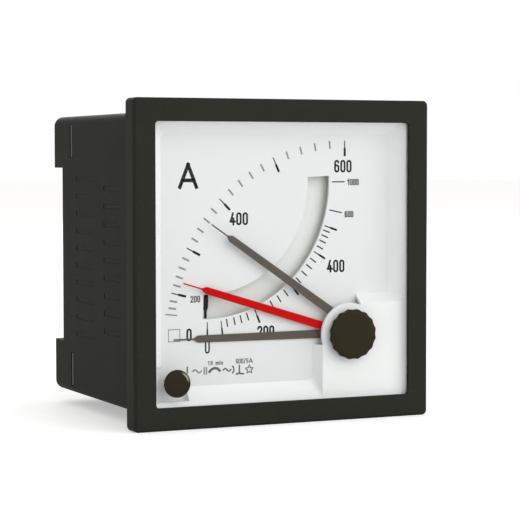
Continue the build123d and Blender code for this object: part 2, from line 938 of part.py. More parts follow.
def hairspring():
    """Flat spiral that brings the moving-iron hand back to zero."""
    plan = spiral_plan(spring_first_radius(), spring_strip, spring_pitch, spring_turns, 1)
    return Pos(iron_x, 0, iron_z) * slab(plan, spring_start, spring_back)


def bobbin_flange_plan():
    """Eight-sided flange of the bobbin, which the rear bridge repeats."""
    sides = bobbin_flange_sides
    return RegularPolygon(bobbin_flange_radius, sides, major_radius=False, rotation=180 / sides)


def coil_bobbin():
    """Moulded bobbin: tube with two eight-sided flanges."""
    body = disc(bobbin_tube_radius, bobbin_start, bobbin_end)
    body += slab(bobbin_flange_plan(), bobbin_start, bobbin_start + bobbin_flange)
    body += slab(bobbin_flange_plan(), bobbin_end - bobbin_flange, bobbin_end)
    body -= disc(bobbin_bore_radius, bobbin_start, bobbin_end)
    return Pos(iron_x, 0, iron_z) * body


def coil_winding():
    """Thick enamelled winding between the bobbin flanges."""
    front = bobbin_start + bobbin_flange + side_clearance
    back = bobbin_end - bobbin_flange - side_clearance
    return ring(winding_radius, bobbin_tube_radius, front, back, iron_x, iron_z)


def fixed_iron():
    """Curved iron sheet fixed inside the bobbin."""
    middle = bobbin_start + bobbin_length / 2
    inner = fixed_iron_radius - iron_sheet
    plan = sector(inner, fixed_iron_radius, -fixed_iron_angle - iron_start_angle, -iron_start_angle)
    return Pos(iron_x, 0, iron_z) * slab(plan, middle - iron_sheet_length / 2, middle + iron_sheet_length / 2)


def moving_iron():
    """Curved iron vane carried on the spindle by two thin arms."""
    middle = bobbin_start + bobbin_length / 2
    front = middle - iron_sheet_length / 2
    back = middle + iron_sheet_length / 2
    outer = fixed_iron_radius - iron_sheet - iron_air_gap
    start = -moving_iron_angle - iron_start_angle
    end = -iron_start_angle
    body = slab(sector(outer - iron_sheet, outer, start, end), front, back)
    arm = sector(iron_spindle_radius, outer - iron_sheet / 2, start + iron_arm_angle, end - iron_arm_angle)
    arm += Circle(iron_arm_hub) - Circle(iron_spindle_radius)
    for y in (front, back - iron_sheet):
        body += slab(arm, y, y + iron_sheet)
    body -= disc(iron_spindle_radius, front, back)
    return Pos(iron_x, 0, iron_z) * body


def damping_chamber():
    """Shallow moulding behind the rear bridge with the sector in which the vane swings."""
    body = disc(chamber_radius, rear_bridge_back, chamber_back)
    half = chamber_angle / 2
    middle = 180 + hand_sweep_angle / 2
    hollow = sector(iron_spindle_radius, chamber_radius - chamber_wall, middle - half, middle + half)
    hollow += Circle(chamber_bore)
    body -= slab(hollow, rear_bridge_back, chamber_floor)
    body -= disc(jewel_radius / 2, chamber_floor, chamber_back)
    return Pos(iron_x, 0, iron_z) * body


def damping_vane():
    """Paddle on the spindle inside the chamber."""
    reach = chamber_radius - chamber_wall - vane_clearance
    paddle = Pos(0, reach / 2) * Rectangle(vane_thickness, reach)
    paddle += Circle(iron_arm_hub)
    paddle -= Circle(iron_spindle_radius)
    front = rear_bridge_back + vane_clearance
    return Pos(iron_x, 0, iron_z) * slab(paddle, front, chamber_floor - vane_clearance)


def screw_slot(back):
    """The driver slot across a screw's rear face."""
    half = jewel_slot_width / 2
    return box(-jewel_radius, jewel_radius, back - jewel_slot_depth, back, -half, half)


def rear_jewel_screw():
    """Slotted screw in the chamber floor with the cup that carries the spindle's rear end."""
    back = chamber_back + jewel_head
    body = disc(jewel_radius / 2, chamber_floor - vane_clearance + side_clearance, back)
    body += disc(jewel_radius, chamber_back, back)
    return Pos(iron_x, 0, iron_z) * (body - screw_slot(back))


# Thermal movement

def thermal_posts_places():
    """Places of the three posts on their circle, as x and z from the axis."""
    places = []
    for k in range(3):
        angle = math.radians(90 + 120 * k)
        places.append((thermal_post_circle * math.cos(angle), thermal_post_circle * math.sin(angle)))
    return places


def thermal_plate(front, hole):
    """A hexagonal frame plate with its corners over the posts and a hole on the axis."""
    plan = RegularPolygon(thermal_plate_radius, 6, rotation=90) - Circle(hole)
    return Pos(demand_x, 0, demand_z) * slab(plan, front, front + thermal_plate_thickness)


def thermal_front_plate():
    """Front plate, whose hole is the spindle's bearing."""
    return thermal_plate(thermal_front, demand_spindle_radius + running_clearance)


def thermal_rear_plate():
    """Rear plate with a tapped hole for the end screw."""
    return thermal_plate(thermal_rear, jewel_radius)


def thermal_posts():
    """Posts between the two plates and from the rear plate to the movement plate."""
    posts = []
    for x, z in thermal_posts_places():
        post = Pos(x, z) * hexagon(thermal_post_flats)
        posts.append(slab(post, thermal_front + thermal_plate_thickness, thermal_rear))
        posts.append(slab(post, thermal_rear + thermal_plate_thickness, plate_start))
    return Pos(demand_x, 0, demand_z) * Compound(children=posts)


def thermal_end_screw():
    """Slotted screw in the rear plate with the cup for the spindle's rear end."""
    back = thermal_rear + thermal_plate_thickness + jewel_head
    body = disc(jewel_radius, thermal_rear, back)
    cup = demand_spindle_radius + running_clearance
    body -= disc(cup, thermal_rear, thermal_rear + thermal_plate_thickness / 2 + side_clearance)
    return Pos(demand_x, 0, demand_z) * (body - screw_slot(back))


def spiral_first_radius():
    """Middle radius of a bimetal spiral's first half turn."""
    return collet_radius + strip_clearance + spiral_strip / 2


def bimetal_spiral(front, hand):
    """A bimetal strip wound flat; the hand of the winding is 1 or -1."""
    plan = spiral_plan(spiral_first_radius(), spiral_strip, spiral_pitch, spiral_turns, hand)
    return Pos(demand_x, 0, demand_z) * slab(plan, front, front + spiral_width)


def spiral_anchors():
    """Square posts on the two plates that hold the spirals' outer ends."""
    front_back = thermal_front + thermal_plate_thickness
    working_back = working_spiral_start + spiral_width
    anchors = []
    for hand, low, high in (
        (1, front_back, working_back),
        (-1, compensating_spiral_start, thermal_rear),
    ):
        x = spiral_first_radius() + spiral_turns * spiral_pitch
        half = anchor_size / 2
        z = sorted((0, hand * anchor_size))
        anchors.append(box(x - half, x + half, low, high, *z))
    return Pos(demand_x, 0, demand_z) * Compound(children=anchors)


# Movement plate, pillars and screws

def movement_plate():
    """Steel plate behind both movements, with cut corners and four screw holes."""
    plan = Rectangle(2 * plate_half, 2 * plate_half)
    plan = chamfer(plan.vertices(), plate_corner)
    for x, z in four_corners(pillar_spread):
        plan -= Pos(x, z) * Circle(screw_radius + screw_clearance)
    return slab(plan, plate_start, plate_back)


def plate_pillars():
    """Hexagonal pillars between the movement plate and the rear wall, bored for the screws."""
    pillars = []
    bore_end = plate_start + screw_length + screw_end_gap
    for x, z in four_corners(pillar_spread):
        pillar = slab(Pos(x, z) * hexagon(pillar_flats), plate_back, rear_wall_front)
        pillars.append(pillar - disc(screw_radius + screw_clearance, plate_back, bore_end, x, z))
    return Compound(children=pillars)


def plate_screws():
    """Hexagon-head screws that hold the plate on its pillars."""
    screws = []
    for x, z in four_corners(pillar_spread):
        head = slab(Pos(x, z) * hexagon(screw_head_flats), plate_start - screw_head, plate_start)
        screws.append(head + disc(screw_radius, plate_start, plate_start + screw_length, x, z))
    return Compound(children=screws)


# Feed transformer

def transformer_core():
    """Laminated core with two windows."""
    plan = Rectangle(core_width, core_height)
    window_height = core_height - 2 * core_window
    for side in (-1, 1):
        plan -= Pos(side * (core_limb + core_window) / 2, 0) * Rectangle(core_window, window_height)
    return Pos(0, 0, core_centre_z) * slab(plan, core_front, core_back)


def coil_shell(inner_grow, outer_grow, height):
    """A rectangular tube round the middle limb, along Z."""
    outer = Box(core_limb + 2 * outer_grow, core_thickness + 2 * outer_grow, height)
    inner = Box(core_limb + 2 * inner_grow, core_thickness + 2 * inner_grow, height)
    return Pos(0, (core_front + core_back) / 2, core_centre_z) * (outer - inner)


def transformer_bobbin():
    """Coil former round the middle limb, with a flange at each end."""
    height = core_height - 2 * core_window - 2 * coil_play
    body = coil_shell(coil_play, coil_play + coil_wall, height)
    flange = coil_shell(coil_play, core_window - coil_play, coil_wall)
    for side in (-1, 1):
        body += Pos(0, 0, side * (height - coil_wall) / 2) * flange
    return body


def transformer_winding():
    """Winding block on the coil former, with rounded corners."""
    height = core_height - 2 * core_window - 2 * coil_play - 2 * coil_wall
    body = coil_shell(coil_play + coil_wall, coil_grow, height)
    upright = body.edges().filter_by(Axis.Z)
    outer = upright.filter_by(lambda e: abs(e.center().X) > core_limb / 2 + coil_wall + 2 * coil_play)
    return fillet(outer, coil_round)


def transformer_bracket():
    """Two angle brackets from the movement plate to the core's sides."""
    half = core_width / 2
    brackets = []
    for side in (-1, 1):
        x = sorted((side * half, side * (half + bracket_thickness)))
        foot = sorted((side * half, side * (half + bracket_foot)))
        z = (core_centre_z - bracket_width / 2, core_centre_z + bracket_width / 2)
        upright = box(*x, plate_back, core_back, *z)
        brackets.append(upright + box(*foot, plate_back, plate_back + bracket_thickness, *z))
    return Compound(children=brackets)


# Terminals

def terminal_studs():
    """Two brass studs with a hex collar outside the rear wall."""
    studs = []
    washer_back = rear_wall_back + stud_washer
    collar_back = washer_back + collar_length
    end = collar_back + stud_free_length
    for side in (-1, 1):
        stud = disc(stud_radius, collar_back, end)
        stud = chamfer(stud.faces().sort_by(Axis.Y)[-1].edges(), stud_chamfer)
        stud += slab(hexagon(collar_flats), washer_back, collar_back)
        stud += disc(stud_radius, straps_front - inner_nut - stud_tail, washer_back)
        studs.append(Pos(side * stud_spread, 0, 0) * stud)
    return Compound(children=studs)


def stud_washers():
    """Washers between the rear wall and the collars."""
    back = rear_wall_back + stud_washer
    hole = stud_radius + stud_clearance
    washer = ring(stud_washer_radius, hole, rear_wall_back, back)
    return Compound(children=[Pos(side * stud_spread, 0, 0) * washer for side in (-1, 1)])


def stud_nuts():
    """Nuts inside the rear wall that pull the studs tight on the straps."""
    plan = hexagon(collar_flats) - Circle(stud_radius + side_clearance)
    nut = slab(plan, straps_front - inner_nut, straps_front)
    return Compound(children=[Pos(side * stud_spread, 0, 0) * nut for side in (-1, 1)])


def connection_straps():
    """Flat copper straps from the studs to the transformer winding."""
    reach = core_centre_z + core_window / 2
    straps = []
    for side in (-1, 1):
        x = side * stud_spread
        inner = side * (core_limb / 2 + core_window / 2 - strap_width / 2)
        plan = Pos(x, 0) * Rectangle(lug_width, lug_width)
        plan += Pos(x, reach / 2) * Rectangle(strap_width, -reach)
        plan += Pos((x + inner) / 2, reach) * Rectangle(abs(x - inner) + strap_width, strap_width)
        plan -= Pos(x, 0) * Circle(stud_radius + stud_clearance)
        straps.append(slab(plan, straps_front, rear_wall_front))
    return Compound(children=straps)


nodes = {
    "front_bezel": front_bezel(),
    "window_pane": window_pane(),
    "mask_frame": mask_frame(),
    "dial_plate": dial_plate(),
    "slot_floor": slot_floor(),
    "housing": housing(),
    "knob_bush": knob_bush(),
    "drag_washer": drag_washer(),
    "sleeve_clip": sleeve_clip(),
    "reset_knob": reset_knob(),
    "knob_spindle": knob_spindle(),
    "reset_dog": reset_dog(),
    "demand_hand": demand_hand(),
    "demand_spindle": demand_spindle(),
    "spiral_collet": spiral_collet(),
    "red_drag_hand": red_drag_hand(),
    "grey_drag_hand": grey_drag_hand(),
    "zero_knob": zero_knob(),
    "zero_clip": zero_clip(),
    "zero_crank": zero_crank(),
    "zero_lever": zero_lever(),
    "instant_hand": instant_hand(),
    "balance_weights": balance_weights(),
    "instant_spindle": instant_spindle(),
    "moving_iron": moving_iron(),
    "damping_vane": damping_vane(),
    "iron_front_bridge": iron_front_bridge(),
    "iron_rear_bridge": iron_rear_bridge(),
    "bridge_posts": bridge_posts(),
    "spindle_bush": spindle_bush(),
    "hairspring": hairspring(),
    "coil_bobbin": coil_bobbin(),
    "coil_winding": coil_winding(),
    "fixed_iron": fixed_iron(),
    "damping_chamber": damping_chamber(),
    "rear_jewel_screw": rear_jewel_screw(),
    "thermal_front_plate": thermal_front_plate(),
    "thermal_rear_plate": thermal_rear_plate(),
    "thermal_posts": thermal_posts(),
    "thermal_end_screw": thermal_end_screw(),
    "working_spiral": bimetal_spiral(working_spiral_start, 1),
    "compensating_spiral": bimetal_spiral(compensating_spiral_start, -1),
    "spiral_anchors": spiral_anchors(),
    "movement_plate": movement_plate(),
    "plate_pillars": plate_pillars(),
    "plate_screws": plate_screws(),
    "transformer_core": transformer_core(),
    "transformer_bobbin": transformer_bobbin(),
    "transformer_winding": transformer_winding(),
    "transformer_bracket": transformer_bracket(),
    "terminal_studs": terminal_studs(),
    "stud_washers": stud_washers(),
    "stud_nuts": stud_nuts(),
    "connection_straps": connection_straps(),
}

os.makedirs("parts", exist_ok=True)
for name, solid in nodes.items():
    export_step(solid, f"parts/{name}.step")
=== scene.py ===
import itertools
import json
import math
import bmesh
import bpy
from mathutils import Matrix, Vector


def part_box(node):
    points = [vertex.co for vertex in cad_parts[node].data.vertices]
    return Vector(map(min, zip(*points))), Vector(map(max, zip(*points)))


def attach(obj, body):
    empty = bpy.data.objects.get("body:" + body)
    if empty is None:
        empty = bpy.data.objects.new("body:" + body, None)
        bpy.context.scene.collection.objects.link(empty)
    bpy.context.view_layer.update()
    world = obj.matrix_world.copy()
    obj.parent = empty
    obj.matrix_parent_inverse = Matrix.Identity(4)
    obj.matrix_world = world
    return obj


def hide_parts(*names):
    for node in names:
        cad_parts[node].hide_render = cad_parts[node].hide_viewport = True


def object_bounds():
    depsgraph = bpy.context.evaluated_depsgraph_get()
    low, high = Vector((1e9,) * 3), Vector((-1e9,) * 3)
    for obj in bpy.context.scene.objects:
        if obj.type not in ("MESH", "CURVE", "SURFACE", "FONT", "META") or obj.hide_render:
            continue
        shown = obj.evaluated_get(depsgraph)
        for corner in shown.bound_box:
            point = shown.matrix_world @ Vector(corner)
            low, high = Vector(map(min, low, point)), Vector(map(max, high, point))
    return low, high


# Square panel meter: its finishes, print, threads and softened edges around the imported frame.
# The dictionaries give millimetres and degrees, and Blender gets metres.
mm = 0.001
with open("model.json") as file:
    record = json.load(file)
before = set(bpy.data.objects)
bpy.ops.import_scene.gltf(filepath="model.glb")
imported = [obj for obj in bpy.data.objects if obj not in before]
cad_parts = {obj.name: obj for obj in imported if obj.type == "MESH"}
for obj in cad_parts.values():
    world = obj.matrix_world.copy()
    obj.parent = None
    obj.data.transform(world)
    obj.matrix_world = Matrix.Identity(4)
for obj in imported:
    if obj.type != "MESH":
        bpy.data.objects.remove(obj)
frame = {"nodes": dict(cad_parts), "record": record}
cadNodes = frame["nodes"]
cadLow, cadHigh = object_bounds()


def middle(node):
    # centre of a CAD node's box
    low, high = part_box(node)
    return (low + high) / 2


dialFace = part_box("dial_plate")[0].y
demandAxis = middle("reset_knob")
ironAxis = middle("spindle_bush")
print("frame loaded:", len(cadNodes), "nodes")


# The camera stands where the photograph was taken from.

cameraSpec = {
    "place": (-242.42, -514.66, 30.00),
    "yaw": 24.713,  # turned towards +X
    "pitch": -2.986,  # looking slightly down
    "roll": 0.0615,
    "lens": 132.315,
    "sensor": 36.0,
}


def makeCamera(spec):
    data = bpy.data.cameras.new("camera")
    data.lens = spec["lens"]
    data.sensor_width = spec["sensor"]
    data.clip_start = 0.01
    data.clip_end = 50
    camera = bpy.data.objects.new("camera", data)
    camera.location = Vector(spec["place"]) * mm
    turn = Matrix.Rotation(math.radians(-spec["yaw"]), 4, "Z")
    tilt = Matrix.Rotation(math.radians(90 + spec["pitch"]), 4, "X")
    roll = Matrix.Rotation(math.radians(-spec["roll"]), 4, "Z")
    camera.rotation_euler = (turn @ tilt @ roll).to_euler()
    bpy.context.scene.collection.objects.link(camera)
    bpy.context.scene.camera = camera


makeCamera(cameraSpec)
print("camera placed")


# Node trees of materials and of geometry.

class Wire:
    # an output socket that takes part in Python expressions

    def __init__(self, recipe, socket):
        self.recipe = recipe
        self.socket = socket

    def __add__(self, other):
        return self.recipe.maths("ADD", self, other)

    def __sub__(self, other):
        return self.recipe.maths("SUBTRACT", self, other)

    def __rsub__(self, other):
        return self.recipe.maths("SUBTRACT", other, self)

    def __mul__(self, other):
        return self.recipe.maths("MULTIPLY", self, other)

    def __truediv__(self, other):
        return self.recipe.maths("DIVIDE", self, other)

    def __rtruediv__(self, other):
        return self.recipe.maths("DIVIDE", other, self)

    def __pow__(self, other):
        return self.recipe.maths("POWER", self, other)

    __radd__ = __add__
    __rmul__ = __mul__


class Recipe:
    # builds one node tree, of a material or of geometry

    def __init__(self, tree):
        self.tree = tree

    def add(self, kind, settings=None, inputs=None, output=0):
        node = self.tree.nodes.new(kind)
        for key, value in (settings or {}).items():
            if key == "stops":
                self.setStops(node.color_ramp, value)
            else:
                setattr(node, key, value)
        for key, value in (inputs or {}).items():
            if isinstance(value, Wire):
                self.tree.links.new(value.socket, node.inputs[key])
            else:
                node.inputs[key].default_value = value
        return Wire(self, node.outputs[output]) if node.outputs else node

    def setStops(self, ramp, stops):
        while len(ramp.elements) < len(stops):
            ramp.elements.new(0.5)
        for element, (at, colour) in zip(ramp.elements, stops):
            element.position = at
            element.color = (*colour, 1)

    def maths(self, operation, first, second=0.0, third=0.0):
        kind = "ShaderNodeMath"
        return self.add(kind, {"operation": operation}, {0: first, 1: second, 2: third})

    def blend(self, share, first, second):
        settings = {"data_type": "RGBA"}
        return self.add("ShaderNodeMix", settings, {0: share, 6: first, 7: second}, 2)


def blankTree(owner):
    # empties the node tree of a material or a world
    owner.use_nodes = True
    owner.node_tree.nodes.clear()
    return Recipe(owner.node_tree)


def linear(red, green, blue):
    # an sRGB colour of 0 to 255 as Blender's linear values
    def channel(value):
        share = value / 255
        return share / 12.92 if share <= 0.04045 else ((share + 0.055) / 1.055) ** 2.4
    return tuple(channel(value) for value in (red, green, blue))


def shade(colour, factor):
    return (*(min(1.0, value * factor) for value in colour[:3]), 1.0)


# Finishes, with colours as sRGB values of 0 to 255.

def startMaterial(name):
    material = bpy.data.materials.new(name)
    recipe = blankTree(material)
    place = recipe.add("ShaderNodeTexCoord", output=3)  # Object coordinates
    return material, recipe, place


def noise(recipe, place, size, detail=3.0, roughness=0.55):
    # a noise whose patches are about size millimetres wide
    inputs = {"Vector": place, "Scale": 1 / (size * mm), "Detail": detail, "Roughness": roughness}
    return recipe.add("ShaderNodeTexNoise", None, inputs)


def bump(recipe, height, strength, depth, normal=None):
    inputs = {"Height": height, "Strength": strength, "Distance": depth * mm}
    if normal:
        inputs["Normal"] = normal
    return recipe.add("ShaderNodeBump", None, inputs)


def close(material, recipe, colour, roughness, normal=None, extra=None):
    # the Principled shader and the output
    inputs = {"Base Color": colour, "Roughness": roughness}
    if normal:
        inputs["Normal"] = normal
    inputs.update(extra or {})
    surface = recipe.add("ShaderNodeBsdfPrincipled", None, inputs)
    recipe.add("ShaderNodeOutputMaterial", None, {"Surface": surface})
    return material


def moulding(name, colour, spec):
    # moulded plastic: spark-eroded grain, faint flow mottling and an uneven sheen
    material, recipe, place = startMaterial(name)
    grain = noise(recipe, place, spec["grain"], 2.0)
    flow = noise(recipe, place, spec["flow"], 3.0)
    tone = recipe.blend(flow, shade(colour, 1 - spec["mottle"]), shade(colour, 1 + spec["mottle"]))
    speck = recipe.maths("GREATER_THAN", noise(recipe, place, spec["grain"] * 2.2, 1.0), 0.68)
    tone = recipe.blend(speck * spec["speck"], tone, shade(colour, spec["speckTone"]))
    roughness = (flow - 0.5) * spec["sheenVaries"] + spec["roughness"] + (grain - 0.5) * 0.08
    relief = bump(recipe, grain, spec["relief"], spec["depth"])
    relief = bump(recipe, flow, 0.12, spec["depth"] * 2, relief)
    return close(material, recipe, tone, roughness, relief, {"Specular IOR Level": spec["specular"]})


def paintedHighlightRim(name, colour, spec, highlight):
    # the same plastic, with a painted highlight: a pale crescent painted along part of the bevel
    material, recipe, place = startMaterial(name)
    axis = middle("zero_knob")
    centred = recipe.add("ShaderNodeMapping", None, {"Vector": place, "Location": (-axis.x, 0, -axis.z)})
    across = recipe.add("ShaderNodeSeparateXYZ", None, {0: centred}, 0)
    up = recipe.add("ShaderNodeSeparateXYZ", None, {0: centred}, 2)
    radius = recipe.maths("SQRT", across * across + up * up) / mm
    offBand = recipe.maths("ABSOLUTE", radius - highlight["radius"]) / highlight["width"]
    facing = (across * math.cos(highlight["heading"]) + up * math.sin(highlight["heading"])) / (radius * mm)
    share = recipe.maths("MAXIMUM", 0.0, 1 - offBand * offBand)
    share = share * recipe.maths("MAXIMUM", 0.0, (facing - highlight["spread"]) / (1 - highlight["spread"]))
    grain = noise(recipe, place, spec["grain"], 2.0)
    blotch = noise(recipe, place, highlight["blotch"], 4.0)
    tone = recipe.blend(blotch, shade(colour, 0.9), shade(colour, 1.1))
    # painted highlight: the pale crescent is blended into the tone here
    tone = recipe.blend(share * (blotch * 0.5 + 0.6), tone, (*highlight["colour"], 1))
    relief = bump(recipe, grain, spec["relief"], spec["depth"])
    roughness = spec["roughness"] - share * 0.1 + (blotch - 0.5) * 0.1
    return close(material, recipe, tone, roughness, relief, {"Specular IOR Level": spec["specular"]})


def lacquer(name, colour, spec):
    # sprayed paint on sheet metal: orange peel, tiny pinholes, a slightly uneven coat
    material, recipe, place = startMaterial(name)
    peel = noise(recipe, place, spec["peel"], 2.0)
    cloud = noise(recipe, place, spec["cloud"], 3.0)
    tone = recipe.blend(cloud, shade(colour, 1 - spec["uneven"]), shade(colour, 1 + spec["uneven"]))
    pit = recipe.maths("GREATER_THAN", noise(recipe, place, 0.28, 1.0), 0.72)
    tone = recipe.blend(pit * spec["pits"], tone, shade(colour, 0.8))
    roughness = spec["roughness"] + (cloud - 0.5) * 0.12
    relief = bump(recipe, peel, spec["relief"], 0.03)
    return close(material, recipe, tone, roughness, relief, {"Specular IOR Level": spec["specular"]})


def bareMetal(name, colour, spec):
    # metal with lines left by rolling or turning, tarnish in patches and a brighter grain
    material, recipe, place = startMaterial(name)
    stretched = recipe.add("ShaderNodeMapping", None, {"Vector": place, "Scale": spec["stretch"]})
    lines = noise(recipe, stretched, spec["line"], 4.0, 0.65)
    patches = noise(recipe, place, spec["patch"], 4.0)
    tone = recipe.blend(patches, shade(colour, 1 - spec["tarnish"]), shade(colour, 1 + 0.4 * spec["tarnish"]))
    tone = recipe.blend(lines * 0.35, tone, shade(colour, 0.72))
    roughness = spec["roughness"] + (lines - 0.5) * 0.25 + (patches - 0.5) * 0.15
    relief = bump(recipe, lines, 0.25, 0.02)
    return close(material, recipe, tone, roughness, relief, {"Metallic": 1.0})


def stripedStack(name, first, second, spec):
    # thin layers seen on edge, such as core sheets or turns of wire
    material, recipe, place = startMaterial(name)
    parts = recipe.add("ShaderNodeSeparateXYZ", None, {0: place}, spec["axis"])
    wave = recipe.maths("SINE", parts * (2 * math.pi / (spec["pitch"] * mm)))
    share = wave * 0.5 + 0.5
    patches = noise(recipe, place, 3.0, 3.0)
    tone = recipe.blend(share, (*first, 1), (*second, 1))
    tone = recipe.blend(patches * 0.3, tone, shade(first, 0.7))
    roughness = spec["roughness"] + (patches - 0.5) * 0.2
    relief = bump(recipe, recipe.maths("POWER", share, 0.5), 0.9, spec["pitch"] * 0.25)
    extra = {"Metallic": spec["metallic"], "Coat Weight": spec["coat"]}
    return close(material, recipe, tone, roughness, relief, extra)


def windowPlastic(name, spec):
    # clear pane with a trace of waviness; lamps pass through it
    material, recipe, place = startMaterial(name)
    ripple = noise(recipe, place, spec["ripple"], 1.0)
    haze = noise(recipe, place, spec["cloud"], 3.0)
    inputs = {
        "Base Color": spec["tint"],
        "Roughness": haze * spec["haze"],
        "IOR": spec["refraction"],
        "Transmission Weight": 1.0,
        "Normal": bump(recipe, ripple, 0.05, 0.05),
    }
    glass = recipe.add("ShaderNodeBsdfPrincipled", None, inputs)
    openAir = recipe.add("ShaderNodeBsdfTransparent", None, {"Color": spec["shadow"]})
    shadowRay = recipe.add("ShaderNodeLightPath", output=1)
    diffuseRay = recipe.add("ShaderNodeLightPath", output=2)
    share = recipe.maths("MAXIMUM", shadowRay, diffuseRay)
    surface = recipe.add("ShaderNodeMixShader", None, {0: share, 1: glass, 2: openAir})
    recipe.add("ShaderNodeOutputMaterial", None, {"Surface": surface})
    return material


def slotFloorWithPaintedShade(name, colour, spec):
    # matt paint with painted shade: an olive darkening painted towards the far edge of the slot, where the dial plate
    # shades it
    material, recipe, place = startMaterial(name)
    offset = (-ironAxis.x, 0, -ironAxis.z)
    centred = recipe.add("ShaderNodeMapping", None, {"Vector": place, "Location": offset})
    flat = recipe.add("ShaderNodeVectorMath", {"operation": "MULTIPLY"}, {0: centred, 1: (1, 0, 1)})
    radius = recipe.add("ShaderNodeVectorMath", {"operation": "LENGTH"}, {0: flat}, 1)
    span = spec["shadeOuter"] - spec["shadeInner"]
    edge = recipe.maths("MINIMUM", 1.0, recipe.maths("MAXIMUM", 0.0, (radius / mm - spec["shadeInner"]) / span))
    heading = recipe.add("ShaderNodeSeparateXYZ", None, {0: flat}, 0)
    side = recipe.maths("MAXIMUM", 0.0, heading / (spec["shadeOuter"] * mm))
    cloud = noise(recipe, place, 4.0, 3.0)
    tone = recipe.blend(cloud, shade(colour, 0.97), shade(colour, 1.03))
    # painted shade: darker olive towards the far, right-hand edge of the slot
    tone = recipe.blend(edge ** 1.4 * side ** 2.0 * spec["shadeDepth"], tone, (*spec["shadeColour"], 1))
    relief = bump(recipe, noise(recipe, place, 0.3, 2.0), 0.15, 0.03)
    return close(material, recipe, tone, (cloud - 0.5) * 0.1 + 0.6, relief, {"Specular IOR Level": 0.2})


blackGrain = {
    "grain": 0.22, "flow": 14.0, "mottle": 0.10, "speck": 0.35, "speckTone": 1.7, "roughness": 0.60,
    "sheenVaries": 0.16, "relief": 0.35, "depth": 0.05, "specular": 0.04,
}
caseGrain = {**blackGrain, "grain": 0.30, "flow": 9.0, "mottle": 0.22, "roughness": 0.62, "specular": 0.04}
knobGrain = {**blackGrain, "grain": 0.16, "flow": 5.0, "roughness": 0.40, "specular": 0.10}
# painted highlight: where on the adjuster's bevel the pale crescent is painted, and its colour
highlightSpec = {
    "radius": 3.42,
    "width": 0.42,
    "heading": math.radians(36),
    "spread": 0.84,  # cosine of the angle at which the painted highlight ends
    "blotch": 0.9,
    "colour": linear(176, 172, 150),
}
maskGrain = {
    "grain": 0.35, "flow": 22.0, "mottle": 0.012, "speck": 0.25, "speckTone": 0.96, "roughness": 0.42,
    "sheenVaries": 0.10, "relief": 0.12, "depth": 0.03, "specular": 0.30,
}
formerGrain = {**caseGrain, "mottle": 0.15, "speckTone": 1.3}
paneSpec = {
    "ripple": 26.0, "cloud": 5.0, "haze": 0.02, "refraction": 1.12,
    "tint": (0.985, 0.99, 0.99, 1), "shadow": (0.97, 0.975, 0.975, 1),
}
dialCoat = {
    "peel": 0.5, "cloud": 18.0, "uneven": 0.012, "pits": 0.3, "relief": 0.10, "roughness": 0.58, "specular": 0.22,
}
handCoat = {
    "peel": 0.35, "cloud": 6.0, "uneven": 0.05, "pits": 0.5, "relief": 0.15, "roughness": 0.52, "specular": 0.07,
}
inkCoat = {**handCoat, "roughness": 0.6}
turned = {"stretch": (0.25, 3.0, 0.25), "line": 1.2, "patch": 4.0, "tarnish": 0.14, "roughness": 0.32}
rolled = {"stretch": (0.15, 1.0, 2.5), "line": 1.5, "patch": 9.0, "tarnish": 0.10, "roughness": 0.42}

finishes = {
    "bezel_black": moulding("bezelBlack", linear(43, 44, 38), blackGrain),
    "case_black": moulding("caseBlack", linear(38, 39, 34), caseGrain),
    "knob_black": moulding("knobBlack", linear(40, 34, 18), knobGrain),
    "clear_pane": windowPlastic("windowPlastic", paneSpec),
    "mask_white": moulding("maskWhite", linear(245, 246, 246), maskGrain),
    "dial_white": lacquer("dialWhite", linear(234, 236, 236), dialCoat),
    # the slot floor carries painted shade towards its far edge
    "floor_grey": slotFloorWithPaintedShade("slotGrey", linear(238, 240, 238), {
        "shadeInner": 38.0, "shadeOuter": 40.0, "shadeDepth": 0.30, "shadeColour": linear(128, 128, 104),
    }),
    "hand_brown": lacquer("handBrown", linear(93, 86, 77), handCoat),
    "hand_red": lacquer("handRed", linear(199, 0, 2), {**handCoat, "specular": 0.03}),
    "hand_black": lacquer("handBlack", linear(26, 26, 25), handCoat),
    "brass": bareMetal("brass", (0.72, 0.50, 0.22), turned),
    "spring_steel": bareMetal("springSteel", (0.42, 0.43, 0.45), turned),
    "steel_plate": bareMetal("platedSteel", (0.62, 0.62, 0.58), rolled),
    "aluminium_sheet": bareMetal("aluminiumSheet", (0.80, 0.80, 0.80), rolled),
    "iron_sheet": bareMetal("ironSheet", (0.34, 0.33, 0.32), rolled),
    "bronze_strip": bareMetal("bronzeStrip", (0.60, 0.38, 0.20), turned),
    "former_plastic": moulding("formerPlastic", linear(120, 84, 52), formerGrain),
    "enamelled_wire": stripedStack("enamelledWire", linear(150, 72, 32), linear(206, 118, 62), {
        "axis": 1, "pitch": 1.3, "roughness": 0.3, "metallic": 0.5, "coat": 0.6,
    }),
    "core_laminations": stripedStack("coreLaminations", linear(66, 66, 70), linear(118, 117, 116), {
        "axis": 1, "pitch": 0.5, "roughness": 0.5, "metallic": 0.8, "coat": 0.0,
    }),
    "copper_strip": bareMetal("copperStrip", (0.72, 0.40, 0.28), rolled),
}
# the adjuster's finish carries a painted highlight on its bevel
adjusterBlackPaintedHighlight = paintedHighlightRim("adjusterBlackPaintedHighlight", linear(38, 33, 18), knobGrain, highlightSpec)
printInk = lacquer("printInk", linear(30, 30, 30), inkCoat)
faintInk = lacquer("faintInk", linear(104, 106, 107), inkCoat)
tickGrey = lacquer("tickGrey", linear(146, 148, 148), inkCoat)
paleInk = lacquer("paleInk", linear(146, 150, 151), inkCoat)
print("finishes made:", len(finishes))


# The slot of each CAD node gives its finish.

